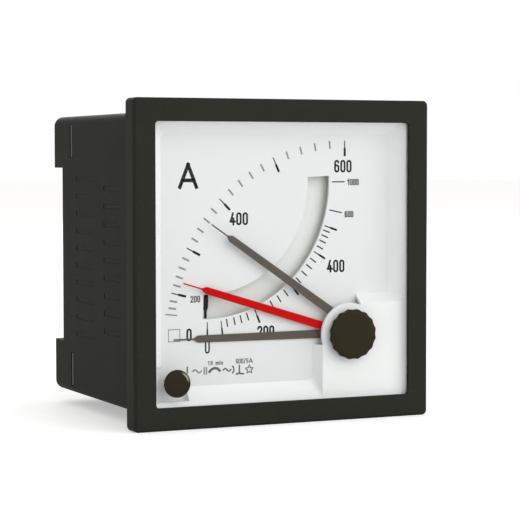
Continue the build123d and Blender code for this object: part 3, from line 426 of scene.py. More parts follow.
nodesOfSlot = {
    "bezel_black": ("front_bezel",),
    "case_black": ("housing", "plate_pillars"),
    "knob_black": ("reset_knob", "zero_knob"),
    "clear_pane": ("window_pane",),
    "mask_white": ("mask_frame",),
    "dial_white": ("dial_plate",),
    "floor_grey": ("slot_floor",),
    "hand_brown": ("demand_hand", "grey_drag_hand"),
    "hand_red": ("red_drag_hand",),
    "hand_black": ("instant_hand",),
    "brass": (
        "knob_bush", "spindle_bush", "spiral_collet", "terminal_studs", "stud_washers", "stud_nuts",
        "rear_jewel_screw", "thermal_end_screw", "thermal_posts", "bridge_posts", "balance_weights",
    ),
    "spring_steel": (
        "knob_spindle", "reset_dog", "drag_washer", "sleeve_clip", "zero_clip", "zero_crank", "demand_spindle",
        "instant_spindle", "hairspring",
    ),
    "steel_plate": ("movement_plate", "plate_screws", "transformer_bracket"),
    "aluminium_sheet": (
        "zero_lever", "damping_vane", "thermal_front_plate", "thermal_rear_plate", "iron_front_bridge",
        "iron_rear_bridge",
    ),
    "iron_sheet": ("fixed_iron", "moving_iron"),
    "bronze_strip": ("working_spiral", "compensating_spiral", "spiral_anchors"),
    "former_plastic": ("coil_bobbin", "transformer_bobbin", "damping_chamber"),
    "enamelled_wire": ("coil_winding", "transformer_winding"),
    "core_laminations": ("transformer_core",),
    "copper_strip": ("connection_straps",),
}
slotOfNode = {node: slot for slot, members in nodesOfSlot.items() for node in members}
for name, node in cadNodes.items():
    node.data.materials.clear()
    node.data.materials.append(finishes[slotOfNode[name]])
bodyOfNode = {node: body for body, members in frame["record"]["behaviour"]["bodies"].items() for node in members}


# Helpers for pieces.

def linkMesh(name, mesh, material):
    data = mesh
    if isinstance(mesh, bmesh.types.BMesh):
        data = bpy.data.meshes.new(name)
        mesh.to_mesh(data)
        mesh.free()
    piece = bpy.data.objects.new(name, data)
    bpy.context.scene.collection.objects.link(piece)
    if material:
        data.materials.clear()
        data.materials.append(material)
    return piece


def plainMesh(piece):
    # the evaluated piece as a mesh of its own, with the modifiers removed
    graph = bpy.context.evaluated_depsgraph_get()
    data = bpy.data.meshes.new_from_object(piece.evaluated_get(graph))
    piece.modifiers.clear()
    return data


def smoothBy(piece, angle):
    # soft shading, with hard lines where faces meet at more than the angle
    piece.data.shade_smooth()
    piece.data.set_sharp_from_angle(angle=math.radians(angle))
    weights = piece.modifiers.new("weights", "WEIGHTED_NORMAL")
    weights.keep_sharp = True
    weights.weight = 80
    piece.data = plainMesh(piece)
    return piece


def standFor(piece, node):
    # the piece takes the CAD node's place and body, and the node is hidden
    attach(piece, bodyOfNode[node])
    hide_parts(node)
    return piece


def joinRings(mesh, rings, capFirst=False, capLast=False):
    # skins a row of rings of equal count
    for lower, upper in zip(rings, rings[1:]):
        for k in range(len(lower)):
            j = (k + 1) % len(lower)
            mesh.faces.new((lower[k], lower[j], upper[j], upper[k]))
    if capFirst:
        mesh.faces.new(rings[0][::-1])
    if capLast:
        mesh.faces.new(rings[-1])


# Bezel: a rounded square drawn through its section, with the small radii of a moulding.

bezelSpec = {
    "perCorner": 8,
    # half width, corner radius and depth behind the front face, from the back round the outside
    "section": (
        (47.80, 1.30, 6.50), (47.94, 1.44, 6.45), (48.00, 1.50, 6.30), (48.00, 1.50, 1.00), (47.96, 1.46, 0.86),
        (47.88, 1.38, 0.74), (47.32, 0.82, 0.13), (47.20, 0.72, 0.03), (47.02, 0.62, 0.00), (41.50, 1.25, 0.00),
        (41.34, 1.09, 0.05), (41.25, 1.00, 0.18), (41.25, 1.00, 1.10), (43.10, 1.00, 1.10), (43.10, 1.00, 2.30),
        (44.10, 3.00, 2.30), (44.10, 3.00, 6.50),
    ),
    "ridge": {"length": 12.0, "width": 1.6, "height": 0.5, "depth": 4.4, "root": 0.05},
}


def squareRing(mesh, half, corner, y, perCorner):
    # a ring of points round a square with round corners
    ring = []
    for quarter, (sx, sz) in enumerate(((1, 1), (-1, 1), (-1, -1), (1, -1))):
        for k in range(perCorner + 1):
            turn = math.radians(90 * (quarter + k / perCorner))
            x = sx * (half - corner) + corner * math.cos(turn)
            z = sz * (half - corner) + corner * math.sin(turn)
            ring.append(mesh.verts.new((x * mm, y, z * mm)))
    return ring


def bezel(spec):
    mesh = bmesh.new()
    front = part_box("front_bezel")[0].y
    rings = []
    for half, corner, depth in spec["section"]:
        rings.append(squareRing(mesh, half, corner, front + depth * mm, spec["perCorner"]))
    joinRings(mesh, rings + [rings[0]])
    ridge = spec["ridge"]
    wall = spec["section"][-1][0]
    y = front / mm + ridge["depth"]
    reach = ridge["length"] / 2
    foot = wall + ridge["root"]
    profile = ((y, wall - ridge["height"]), (y + ridge["width"] / 2, foot), (y - ridge["width"] / 2, foot))
    for quarter in range(4):
        spin = Matrix.Rotation(math.radians(90 * quarter), 3, "Y")
        ends = [[mesh.verts.new(spin @ Vector((x, a, b)) * mm) for a, b in profile] for x in (-reach, reach)]
        joinRings(mesh, ends, True, True)
    bmesh.ops.recalc_face_normals(mesh, faces=mesh.faces)
    piece = linkMesh("front_bezel_moulded", mesh, finishes["bezel_black"])
    return standFor(smoothBy(piece, 28), "front_bezel")


bezel(bezelSpec)
print("bezel moulded")


# Edges of moulded and stamped pieces: only long outer edges of the solids are broken.

edgeSpec = {
    "mask_frame": {"width": 0.22, "shortest": 2.0},
    "dial_plate": {"width": 0.12, "shortest": 2.0},
    "slot_floor": {"width": 0.12, "shortest": 2.0},
    "demand_hand": {"width": 0.16, "shortest": 1.2},
    "red_drag_hand": {"width": 0.10, "shortest": 1.2},
    "grey_drag_hand": {"width": 0.10, "shortest": 1.2},
    "instant_hand": {"width": 0.14, "shortest": 0.8},
}
weldSpec = {
    "near": 0.002,  # corners this close are one
    "flat": 0.3,  # faces that meet at less than this are one flat
    "speck": 0.0005,  # edges shorter than this go after the bevel
    "folds": (50, 155),  # range of outer angles whose edges are broken
}


def mergedMesh(node):
    # a CAD node as one closed mesh with its flats joined up
    mesh = bmesh.new()
    mesh.from_mesh(cadNodes[node].data)
    bmesh.ops.remove_doubles(mesh, verts=mesh.verts, dist=weldSpec["near"] * mm)
    flat = math.radians(weldSpec["flat"])
    bmesh.ops.dissolve_limit(mesh, angle_limit=flat, verts=mesh.verts, edges=mesh.edges, use_dissolve_boundaries=False)
    bmesh.ops.recalc_face_normals(mesh, faces=mesh.faces)
    return mesh


def breakEdges(node, width, shortest):
    mesh = mergedMesh(node)
    least, most = (math.radians(fold) for fold in weldSpec["folds"])
    long = []
    for edge in mesh.edges:
        if len(edge.link_faces) == 2 and edge.calc_length() > shortest * mm:
            if least < edge.calc_face_angle_signed() < most:
                long.append(edge)
    bmesh.ops.bevel(
        mesh, geom=long, offset=width * mm, offset_type="OFFSET", segments=2, profile=0.5, affect="EDGES",
        clamp_overlap=True,
    )
    bmesh.ops.dissolve_degenerate(mesh, dist=weldSpec["speck"] * mm, edges=mesh.edges)
    piece = linkMesh(node + "_finished", mesh, finishes[slotOfNode[node]])
    return standFor(smoothBy(piece, 28), node)


for node, spec in edgeSpec.items():
    breakEdges(node, **spec)
print("edges broken on", len(edgeSpec), "nodes")


# Trees of Geometry Nodes are built here, and their results become plain meshes.

def geometryTree(name, sizes):
    # a tree with named inputs; returns its recipe and the wires of its inputs
    tree = bpy.data.node_groups.new(name, "GeometryNodeTree")
    tree.interface.new_socket("Geometry", in_out="INPUT", socket_type="NodeSocketGeometry")
    tree.interface.new_socket("Geometry", in_out="OUTPUT", socket_type="NodeSocketGeometry")
    for label, kind in sizes:
        tree.interface.new_socket(label, in_out="INPUT", socket_type=kind)
    recipe = Recipe(tree)
    group = tree.nodes.new("NodeGroupInput")
    return recipe, {socket.name: Wire(recipe, socket) for socket in group.outputs if socket.name}


def grow(piece, recipe, values):
    # runs a tree on a piece and returns the result as a plain mesh
    modifier = piece.modifiers.new("grow", "NODES")
    modifier.node_group = recipe.tree
    for item in recipe.tree.interface.items_tree:
        if item.item_type == "SOCKET" and item.in_out == "INPUT" and item.name in values:
            modifier[item.identifier] = values[item.name]
    return plainMesh(piece)


def growFrom(name, points, faces, columns, recipe, values):
    # a tree's result for points that carry a number in each named column
    data = bpy.data.meshes.new(name)
    data.from_pydata(points, [], faces)
    for label, numbers in columns.items():
        data.attributes.new(label, "FLOAT", "POINT").data.foreach_set("value", numbers)
    piece = linkMesh(name, data, None)
    piece.data = grow(piece, recipe, values)
    for label in columns:
        stale = piece.data.attributes.get(label)
        if stale:
            piece.data.attributes.remove(stale)
    return piece


def closeTree(recipe, geometry, material):
    whole = recipe.add("GeometryNodeRealizeInstances", None, {0: geometry})
    inked = recipe.add("GeometryNodeSetMaterial", None, {"Geometry": whole, "Material": material})
    recipe.add("NodeGroupOutput", None, {0: inked})
    return recipe


def columnOf(recipe, label):
    return recipe.add("GeometryNodeInputNamedAttribute", {"data_type": "FLOAT"}, {"Name": label})


def knobTree():
    # a turned piece whose rim is scooped out at equal steps; the flutes fade across the face
    recipe, given = geometryTree("fluted knob", (
        ("Finish", "NodeSocketMaterial"), ("Radius", "NodeSocketFloat"), ("Lobes", "NodeSocketFloat"),
        ("Flute depth", "NodeSocketFloat"), ("Scoop radius", "NodeSocketFloat"), ("Fade", "NodeSocketFloat"),
    ))
    turn, inset, depth = (columnOf(recipe, label) for label in ("turn", "inset", "depth"))
    radius = given["Radius"]
    scoop = given["Scoop radius"]
    pitch = 2 * math.pi / given["Lobes"]
    beside = recipe.maths("WRAP", turn, pitch * 0.5, pitch * -0.5)
    centre = radius - given["Flute depth"] + scoop
    across = recipe.maths("SINE", beside) * centre
    chord = recipe.maths("SQRT", recipe.maths("MAXIMUM", 0.0, scoop * scoop - across * across))
    rim = recipe.maths("MINIMUM", radius, recipe.maths("COSINE", beside) * centre - chord)
    share = recipe.maths("MAXIMUM", 0.0, 1 - inset / given["Fade"])
    reach = radius - inset - (radius - rim) * share
    place = recipe.add("ShaderNodeCombineXYZ", None, {
        0: reach * recipe.maths("COSINE", turn), 1: depth, 2: reach * recipe.maths("SINE", turn),
    })
    moved = recipe.add("GeometryNodeSetPosition", None, {"Geometry": given["Geometry"], "Position": place})
    merged = recipe.add("GeometryNodeMergeByDistance", None, {"Geometry": moved, "Distance": 0.001 * mm})
    return closeTree(recipe, merged, given["Finish"])


knobs = knobTree()

knobSpec = {
    "node": "reset_knob",
    "finish": finishes["knob_black"],
    "radius": 7.6,
    "around": 192,
    "lobes": 16,
    "fluteDepth": 0.26,
    "scoopRadius": 4.0,
    "fade": 2.0,
    # inset from the rim and depth behind the face: hub bore, counterbore, rim, chamfered band, face
    "section": (
        (7.60, 0.75), (6.10, 0.75), (6.10, 1.05), (3.40, 1.05), (3.40, 1.50), (0.12, 1.50), (0.03, 1.47), (0.00, 1.38),
        (0.00, 0.42), (0.03, 0.32), (0.11, 0.24), (0.22, 0.20), (1.30, 0.06), (1.55, 0.02), (1.80, 0.00), (7.60, 0.00),
    ),
}
adjusterSpec = {
    "node": "zero_knob",
    "finish": adjusterBlackPaintedHighlight,
    "radius": 4.05,
    "around": 96,
    "lobes": 16,
    "fluteDepth": 0.0,
    "scoopRadius": 4.0,
    "fade": 1.0,
    # a turned rim, then a step up to a domed face
    "section": (
        (4.05, 0.40), (2.85, 0.40), (2.85, 0.80), (0.10, 0.80), (0.02, 0.78), (0.00, 0.70), (0.00, 0.30), (0.06, 0.20),
        (0.20, 0.17), (0.42, 0.19), (0.50, 0.24), (0.60, 0.22), (0.85, 0.12), (1.20, 0.03), (1.60, 0.00), (4.05, 0.00),
    ),
}


def knob(spec):
    around = spec["around"]
    rows = spec["section"]
    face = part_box(spec["node"])[0].y
    points = []
    columns = {"turn": [], "inset": [], "depth": []}
    for row, (inset, depth) in enumerate(rows):
        for k in range(around):
            points.append((k * mm, row * mm, 0))
            columns["turn"].append(2 * math.pi * k / around)
            columns["inset"].append(inset * mm)
            columns["depth"].append(face + depth * mm)
    faces = []
    for row in range(len(rows) - 1):
        for k in range(around):
            j = (k + 1) % around
            faces.append((row * around + k, row * around + j, (row + 1) * around + j, (row + 1) * around + k))
    piece = growFrom(spec["node"] + "_turned", points, faces, columns, knobs, {
        "Finish": spec["finish"], "Radius": spec["radius"] * mm, "Lobes": float(spec["lobes"]),
        "Flute depth": spec["fluteDepth"] * mm, "Scoop radius": spec["scoopRadius"] * mm, "Fade": spec["fade"] * mm,
    })
    axis = middle(spec["node"])
    mesh = bmesh.new()
    mesh.from_mesh(piece.data)
    bmesh.ops.translate(mesh, vec=(axis.x, 0, axis.z), verts=mesh.verts)
    bmesh.ops.recalc_face_normals(mesh, faces=mesh.faces)
    mesh.to_mesh(piece.data)
    mesh.free()
    return standFor(smoothBy(piece, 32), spec["node"])


knob(knobSpec)
knob(adjusterSpec)
print("knobs turned")


# Print on the dial.

def standPrint(piece):
    # print laid out flat in x and y is stood up on the dial face
    front = dialFace - printSpec["lift"] * mm
    piece.data.transform(Matrix.Translation((0, front, 0)) @ Matrix.Rotation(math.radians(90), 4, "X"))
    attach(piece, "case")


def tickTree():
    # one bar for each point; the point carries the bar's heading, length and width
    recipe, given = geometryTree("scale ticks", (
        ("Ink", "NodeSocketMaterial"), ("Film", "NodeSocketFloat"),
    ))
    heading, length, width = (columnOf(recipe, label) for label in ("heading", "length", "width"))
    bar = recipe.add("GeometryNodeMeshCube", None, {"Size": (1, 1, 1)})
    size = recipe.add("ShaderNodeCombineXYZ", None, {0: length, 1: width, 2: given["Film"]})
    spin = recipe.add("ShaderNodeCombineXYZ", None, {2: heading})
    turn = recipe.add("FunctionNodeEulerToRotation", None, {0: spin})
    inputs = {"Points": given["Geometry"], "Instance": bar, "Rotation": turn, "Scale": size}
    bars = recipe.add("GeometryNodeInstanceOnPoints", None, inputs)
    return closeTree(recipe, bars, given["Ink"])


def strokeTree():
    # a flat pen that follows each curve of the drawing
    recipe, given = geometryTree("pen strokes", (
        ("Ink", "NodeSocketMaterial"), ("Film", "NodeSocketFloat"), ("Pen", "NodeSocketFloat"),
    ))
    curve = recipe.add("GeometryNodeSetCurveNormal", {"mode": "Z_UP"}, {0: given["Geometry"]})
    nib = recipe.add("GeometryNodeCurvePrimitiveQuadrilateral", None, {"Width": given["Pen"], "Height": given["Film"]})
    line = recipe.add("GeometryNodeCurveToMesh", None, {"Curve": curve, "Profile Curve": nib, "Fill Caps": True})
    return closeTree(recipe, line, given["Ink"])


ticks = tickTree()
strokes = strokeTree()

printSpec = {
    "film": 0.016,  # thickness of the ink
    "lift": 0.008,  # from the dial face to the middle of the film
    "demandCentre": (demandAxis.x / mm, demandAxis.z / mm),
    "ironCentre": (ironAxis.x / mm, ironAxis.z / mm),
}

demandScale = {
    "full": 600,
    "sweep": 90.0,
    "power": 1.72,
    "first": 140,
    "step": 20,
    "minor": (55.8, 58.2, 0.56),  # inner radius, outer radius, width
    "half": (55.2, 58.9, 0.42),
    "majorBold": (53.4, 55.9, 0.72),
    "majorThin": (55.9, 58.1, 0.34),
}

ironScale = {
    "angles": {
        0: 0.0, 100: 6.2, 120: 8.7, 140: 12.0, 160: 15.0, 180: 18.1, 200: 22.1, 220: 26.0, 240: 29.9, 260: 33.8,
        280: 37.7, 300: 41.4, 320: 45.3, 340: 49.1, 360: 52.6, 380: 55.8, 400: 59.1, 420: 61.9, 440: 64.6,
        460: 67.0, 480: 69.2, 500: 71.1, 600: 78.1, 1000: 90.0,
    },
    "minor": (40.6, 43.0, 0.40),
    "majorThin": (40.6, 42.9, 0.34),
    "majorBold": (42.6, 45.0, 0.62),
    "lineThin": (40.9, 43.2, 0.30),
    "lineBold": (43.0, 45.2, 0.52),
    "lines": (0, 100),
    "endLine": (40.9, 45.2, 0.36),
    "endLines": (600, 1000),
    "majors": (200, 300, 400, 500),
}


def tick(centre, angle, start, span, size):
    # centre of one bar, its heading and its size; angles run from start, positive with the hand
    inner, outer, width = size
    heading = math.radians(start + span * angle)
    radius = (inner + outer) / 2
    x = centre[0] + radius * math.cos(heading)
    y = centre[1] + radius * math.sin(heading)
    return x, y, heading, outer - inner, width


def drawTicks(name, rows, ink):
    points = [(x * mm, y * mm, 0) for x, y, *_ in rows]
    headings, lengths, widths = zip(*(row[2:] for row in rows))
    columns = {"heading": headings, "length": [v * mm for v in lengths], "width": [v * mm for v in widths]}
    piece = growFrom(name, points, [], columns, ticks, {"Ink": ink, "Film": printSpec["film"] * mm})
    standPrint(piece)


def demandTicks(spec, centre):
    # the ticks at the hundreds are bold
    groups = {"bold": [], "fine": []}
    for value in range(spec["first"], spec["full"] + 1, spec["step"]):
        angle = spec["sweep"] * (value / spec["full"]) ** spec["power"]
        group, kinds = "fine", ("half" if value == spec["first"] else "minor",)
        if value % 100 == 0:
            group, kinds = "bold", ("majorBold", "majorThin")
        groups[group] += [tick(centre, angle, 180, -1, spec[kind]) for kind in kinds]
    return groups


def ironTicks(spec, centre):
    # only the outer halves of the longest ticks are bold
    groups = {"bold": [], "dark": []}
    for value, angle in spec["angles"].items():
        kinds = ("minor",)
        if value in spec["lines"]:
            kinds = ("lineThin", "lineBold")
        elif value in spec["endLines"]:
            kinds = ("endLine",)
        elif value in spec["majors"]:
            kinds = ("majorThin", "majorBold")
        for kind in kinds:
            group = "bold" if kind.endswith("Bold") else "dark"
            groups[group].append(tick(centre, angle, -90, 1, spec[kind]))
    return groups


demandRows = demandTicks(demandScale, printSpec["demandCentre"])
ironRows = ironTicks(ironScale, printSpec["ironCentre"])
tickGroups = {
    "scale_bold_ticks": (demandRows["bold"] + ironRows["bold"], printInk),
    "scale_iron_ticks": (ironRows["dark"], printInk),
    "scale_demand_ticks": (demandRows["fine"], tickGrey),
}
for name, (rows, ink) in tickGroups.items():
    drawTicks(name, rows, ink)
print("scale ticks:", sum(len(rows) for rows, ink in tickGroups.values()))


# Letters and signs are pen strokes in a box one unit high.

def arc(x, y, rx, ry, start, end, count=10):
    steps = [math.radians(start + (end - start) * k / count) for k in range(count + 1)]
    return [(x + rx * math.cos(t), y + ry * math.sin(t)) for t in steps]


def loop(points):
    return points + [points[0]]


glyphWidth = 0.36
halfGlyph = glyphWidth / 2
topBowl = arc(halfGlyph, 1 - halfGlyph, halfGlyph, halfGlyph, 0, 180)
lowBowl = arc(halfGlyph, halfGlyph, halfGlyph, halfGlyph, 180, 360)
glyphs = {
    "0": [loop(topBowl + lowBowl)],
    "1": [[(0.26, 0), (0.26, 1)], [(0.26, 1), (0.04, 0.76)]],
    "2": [
        arc(halfGlyph, 1 - halfGlyph, halfGlyph, halfGlyph, 180, 0) + [(glyphWidth, 0.70), (0, 0.0)],
        [(0, 0), (glyphWidth + 0.03, 0)],
    ],
    "4": [[(0.22, 1), (0.0, 0.25)], [(-0.03, 0.25), (glyphWidth + 0.06, 0.25)], [(0.27, 0.52), (0.27, 0)]],
    "5": [
        [(glyphWidth, 1), (0.03, 1), (0.0, 0.56)],
        [(0.0, 0.56)] + arc(halfGlyph, 0.36, halfGlyph, 0.24, 150, -90) + [(0, 0.04)],
    ],
    "6": [
        [(glyphWidth * 0.92, 0.86)] + arc(halfGlyph, 1 - halfGlyph, halfGlyph, halfGlyph, 25, 180)
        + lowBowl + [(glyphWidth, 0.38)] + arc(halfGlyph, 0.40, halfGlyph, halfGlyph, 0, 180),
    ],
    "8": [
        loop(arc(halfGlyph, 0.76, halfGlyph * 0.9, 0.24, 0, 360, 20)),
        loop(arc(halfGlyph, 0.27, halfGlyph, 0.27, 0, 360, 20)),
    ],
    "A": [[(0, 0), (0.40, 1)], [(0.40, 1), (0.80, 0)], [(0.13, 0.30), (0.67, 0.30)]],
    "m": [
        [(0, 0), (0, 0.68)],
        [(0, 0.50)] + arc(0.13, 0.54, 0.13, 0.14, 180, 0) + [(0.26, 0)],
        [(0.26, 0.50)] + arc(0.39, 0.54, 0.13, 0.14, 180, 0) + [(0.52, 0)],
    ],
    "i": [[(0, 0), (0, 0.68)], [(0, 0.90), (0, 1.0)]],
    "n": [[(0, 0), (0, 0.68)], [(0, 0.50)] + arc(0.15, 0.53, 0.15, 0.15, 180, 0) + [(0.30, 0)]],
    "/": [[(0, -0.05), (0.34, 1.05)]],
    " ": [],
}
glyphAdvance = {"A": 0.80, "m": 0.52, "i": 0.0, "n": 0.30, "/": 0.34, " ": 0.12}


def writing(text, centre, height, pen, stretch=1.0, gap=0.28):
    # strokes of a line of text, centred on a place; height includes the pen
    scale = height - pen
    runs = []
    at = 0.0
    for letter in text:
        for stroke in glyphs[letter]:
            runs.append([((at + x * stretch) * scale, (y - 0.5) * scale) for x, y in stroke])
        at += glyphAdvance.get(letter, glyphWidth) * stretch + gap
    half = (at - gap) * scale / 2
    return [[(centre[0] + x - half, centre[1] + y) for x, y in run] for run in runs]


def pushEnds(run, reach):
    # an open stroke goes on past its ends by half the pen
    def pushed(end, beside):
        span = math.dist(end, beside)
        return tuple(a + (a - b) * reach / span for a, b in zip(end, beside))
    return [pushed(run[0], run[1])] + run[1:-1] + [pushed(run[-1], run[-2])]


def drawStrokes(name, runs, pen, ink):
    curve = bpy.data.curves.new(name, "CURVE")
    curve.dimensions = "3D"
    for run in runs:
        closed = run[0] == run[-1]
        points = run[:-1] if closed else pushEnds(run, pen / 2)
        spline = curve.splines.new("POLY")
        spline.points.add(len(points) - 1)
        for point, (x, y) in zip(spline.points, points):
            point.co = (x * mm, y * mm, 0, 1)
        spline.use_cyclic_u = closed
    drawing = bpy.data.objects.new(name + "_drawing", curve)
    bpy.context.scene.collection.objects.link(drawing)
    data = grow(drawing, strokes, {"Ink": ink, "Film": printSpec["film"] * mm, "Pen": pen * mm})
    bpy.data.objects.remove(drawing)
    standPrint(linkMesh(name, data, None))


def wave(x, y, width, height):
    return [(x + width * (k / 12 - 0.5), y + height / 2 * math.sin(2 * math.pi * k / 12)) for k in range(13)]


def star(x, y, radius):
    points = []
    for k in range(10):
        reach = radius if k % 2 == 0 else radius * 0.45
        turn = math.radians(90 + 36 * k)
        points.append((x + reach * math.cos(turn), y + reach * math.sin(turn)))
    return loop(points)


labels = {
    "label_unit": (writing("A", (-28.85, 25.5), 7.6, 1.1), 1.1, printInk),
    "label_demand": (
        writing("600", (21.7, 28.2), 3.8, 0.58) + writing("400", (-12.7, 12.8), 3.8, 0.58)
        + writing("0", (-28.7, -20.9), 3.6, 0.48), 0.60, printInk,
    ),
    "label_iron": (writing("400", (19.3, -1.9), 3.8, 0.58) + writing("200", (-4.0, -20.9), 3.6, 0.55), 0.60, printInk),
    "label_zero": (writing("0", (-22.9, -24.6), 4.1, 0.48, 0.85), 0.48, printInk),
    "label_small": (
        writing("600", (23.8, 13.7), 1.95, 0.34) + writing("1000", (25.1, 23.4), 1.95, 0.34), 0.35, printInk,
    ),
    "label_mark": (writing("200", (-26.7, -10.5), 2.0, 0.34), 0.38, faintInk),
    "zero_square": (
        [loop([(-35.2, -22.7), (-31.6, -22.7), (-31.6, -19.2), (-35.2, -19.2)]), [(-33.4, -22.2), (-29.9, -22.2)]],
        0.36, paleInk,
    ),
    "signs_pale": (
        [
            wave(-26.2, -31.7, 2.7, 0.9),
            [(-23.9, -32.6), (-23.9, -30.8)],
            [(-23.2, -32.6), (-23.2, -30.8)],
        ],
        0.46, paleInk,
    ),
    "signs_faint": (
        [
            wave(-16.6, -31.7, 2.4, 0.8),
            arc(-15.2, -31.7, 0.8, 1.1, 60, -60),
            [(-29.3, -32.0), (-29.3, -30.4)],
        ],
        0.44, faintInk,
    ),
    "sign_heat": ([[(-22.2, -32.0), (-21.6, -31.35), (-20.6, -31.0), (-19.6, -31.2), (-19.0, -31.8)]], 0.78, faintInk),
    "signs_dark": (
        [
            [(-13.6, -33.1), (-13.1, -33.1)],
            [(-12.1, -33.1), (-11.3, -33.1)],
            [(-13.0, -32.9), (-12.3, -32.9)],
            [(-12.6, -32.9), (-12.6, -30.6)],
            star(-9.4, -31.9, 1.35),
        ],
        0.46, faintInk,
    ),
    "rating_text": (
        writing("15 min", (-20.4, -29.5), 1.3, 0.24, 1.45, 0.42) + writing("600/5A", (-11.0, -29.3), 1.5, 0.26, 1.1),
        0.26, faintInk,
    ),
}
for name, (runs, pen, ink) in labels.items():
    drawStrokes(name, runs, pen, ink)
print("dial print:", len(labels), "drawings")


# Gauze panels and clamp catches in the case walls.

def gauze(name, colour, spec):
    # woven black gauze: two crossing sets of threads
    material, recipe, place = startMaterial(name)
    parts = [recipe.add("ShaderNodeSeparateXYZ", None, {0: place}, axis) for axis in range(3)]
    turn = 2 * math.pi / (spec["pitch"] * mm)
    along = recipe.maths("SINE", parts[1] * turn)
    across = recipe.maths("SINE", (parts[0] + parts[2]) * turn)
    weave = recipe.maths("MAXIMUM", along, across) * 0.5 + 0.5
    dust = noise(recipe, place, 6.0, 3.0)
    tone = recipe.blend(weave, shade(colour, 0.45), shade(colour, 1.25))
    tone = recipe.blend(dust * 0.25, tone, (*spec["dust"], 1))
    relief = bump(recipe, weave, 0.8, 0.12)
    return close(material, recipe, tone, dust * 0.15 + 0.75, relief, {"Specular IOR Level": 0.1})


def panelTree():
    # one thin panel for each point; the point carries its wall's turn, its length and its width
    recipe, given = geometryTree("vent panels", (
        ("Finish", "NodeSocketMaterial"), ("Thickness", "NodeSocketFloat"),
    ))
    spin, length, width = (columnOf(recipe, label) for label in ("spin", "length", "width"))
    panel = recipe.add("GeometryNodeMeshCube", None, {"Size": (1, 1, 1)})
    size = recipe.add("ShaderNodeCombineXYZ", None, {0: given["Thickness"], 1: length, 2: width})
    turn = recipe.add("FunctionNodeEulerToRotation", None, {0: recipe.add("ShaderNodeCombineXYZ", None, {1: spin})})
    inputs = {"Points": given["Geometry"], "Instance": panel, "Rotation": turn, "Scale": size}
    return closeTree(recipe, recipe.add("GeometryNodeInstanceOnPoints", None, inputs), given["Finish"])


gauzeSpec = {
    "wall": 44.0,  # the case wall's outer face
    "sunk": 0.14,
    "thickness": 0.2,
    "pitch": 5.4,
    "slotWidth": 1.6,
    "edge": 0.1,  # how far a panel goes into the wall round its slot
    "columns": ((38.5, 16.0, 10), (15.0, 14.5, 9)),  # front end, length and rows of each column of slots
    "weave": {"pitch": 0.55, "dust": linear(56, 56, 50)},
}


def ventGauze(spec):
    points = []
    columns = {"spin": [], "length": [], "width": []}
    reach = spec["wall"] - spec["sunk"] - spec["thickness"] / 2
    for quarter in range(4):
        spin = Matrix.Rotation(math.radians(90 * quarter), 3, "Y")
        for start, length, count in spec["columns"]:
            for row in range(count):
                z = (row - (count - 1) / 2) * spec["pitch"]
                points.append(spin @ Vector((reach, start + length / 2, z)) * mm)
                columns["spin"].append(math.radians(90 * quarter))
                columns["length"].append((length + 2 * spec["edge"]) * mm)
                columns["width"].append((spec["slotWidth"] + 2 * spec["edge"]) * mm)
    weave = gauze("ventGauze", linear(44, 45, 40), spec["weave"])
    values = {"Finish": weave, "Thickness": spec["thickness"] * mm}
    piece = growFrom("vent_gauze", points, [], columns, panelTree(), values)
    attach(piece, "case")
    return len(points)


catchSpec = {
    "sides": (43.15, 43.78),  # distance from the middle
    "depth": (58.75, 60.15),
    "height": (30.95, 41.35),
    "round": 0.18,
}


def clampCatches(spec):
    # a bar with rounded edges at the back of each clamp pocket
    mesh = bmesh.new()
    for side in (-1, 1):
        for up in (-1, 1):
            points = []
            for x, y, z in itertools.product(spec["sides"], spec["depth"], spec["height"]):
                points.append(mesh.verts.new(Vector((side * x, y, up * z)) * mm))
            for face in ((0, 1, 3, 2), (4, 6, 7, 5), (0, 4, 5, 1), (2, 3, 7, 6), (0, 2, 6, 4), (1, 5, 7, 3)):
                mesh.faces.new([points[k] for k in face])
    bmesh.ops.bevel(
        mesh, geom=mesh.edges[:], offset=spec["round"] * mm, offset_type="OFFSET", segments=3, profile=0.5,
        affect="EDGES", clamp_overlap=True,
    )
    bmesh.ops.recalc_face_normals(mesh, faces=mesh.faces)
    # the catches are a lighter grey than the case: a painted highlight, so each bar shows as the bright strip along
    # its pocket
    catchHighlightGrey = moulding("catchHighlightGrey", linear(82, 79, 72), {**knobGrain, "specular": 0.12})
    piece = smoothBy(linkMesh("clamp_catches", mesh, catchHighlightGrey), 35)
    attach(piece, "case")


print("gauze panels:", ventGauze(gauzeSpec))
clampCatches(catchSpec)
print("clamp catches set")


# Terminal studs with their threads.

studSpec = {
    "pitch": 0.8,
    "depth": 0.42,
    "flank": 0.42,  # share of a pitch from the groove's bottom to the crest
    "core": 2.5,
    "around": 40,
    "perPitch": 8,
    "chamfer": 0.5,
    "flats": 8.0,
    "collar": 3.5,  # length
    "collarRound": 0.35,
    "collarPoints": 48,
    "turnedDown": 1.02,  # widest reach of the turned end, as a share of the flats
}


def threadedPin(mesh, x, start, end, spec):
    # a screw thread as a closed skin whose radius follows the helix
    length = (end - start) / mm
    steps = round(length / spec["pitch"] * spec["perPitch"])
    rings = []
    for row in range(steps + 1):
        along = length * row / steps
        ring = []
        for k in range(spec["around"]):
            turn = 2 * math.pi * k / spec["around"]
            phase = (along / spec["pitch"] - k / spec["around"]) % 1.0
            groove = max(0.0, 1 - abs(phase - 0.5) / spec["flank"])
            reach = min(spec["core"] - spec["depth"] * groove, spec["core"] - spec["chamfer"] + length - along) * mm
            ring.append(mesh.verts.new((x + reach * math.cos(turn), start + along * mm, reach * math.sin(turn))))
        rings.append(ring)
    joinRings(mesh, rings, True, True)


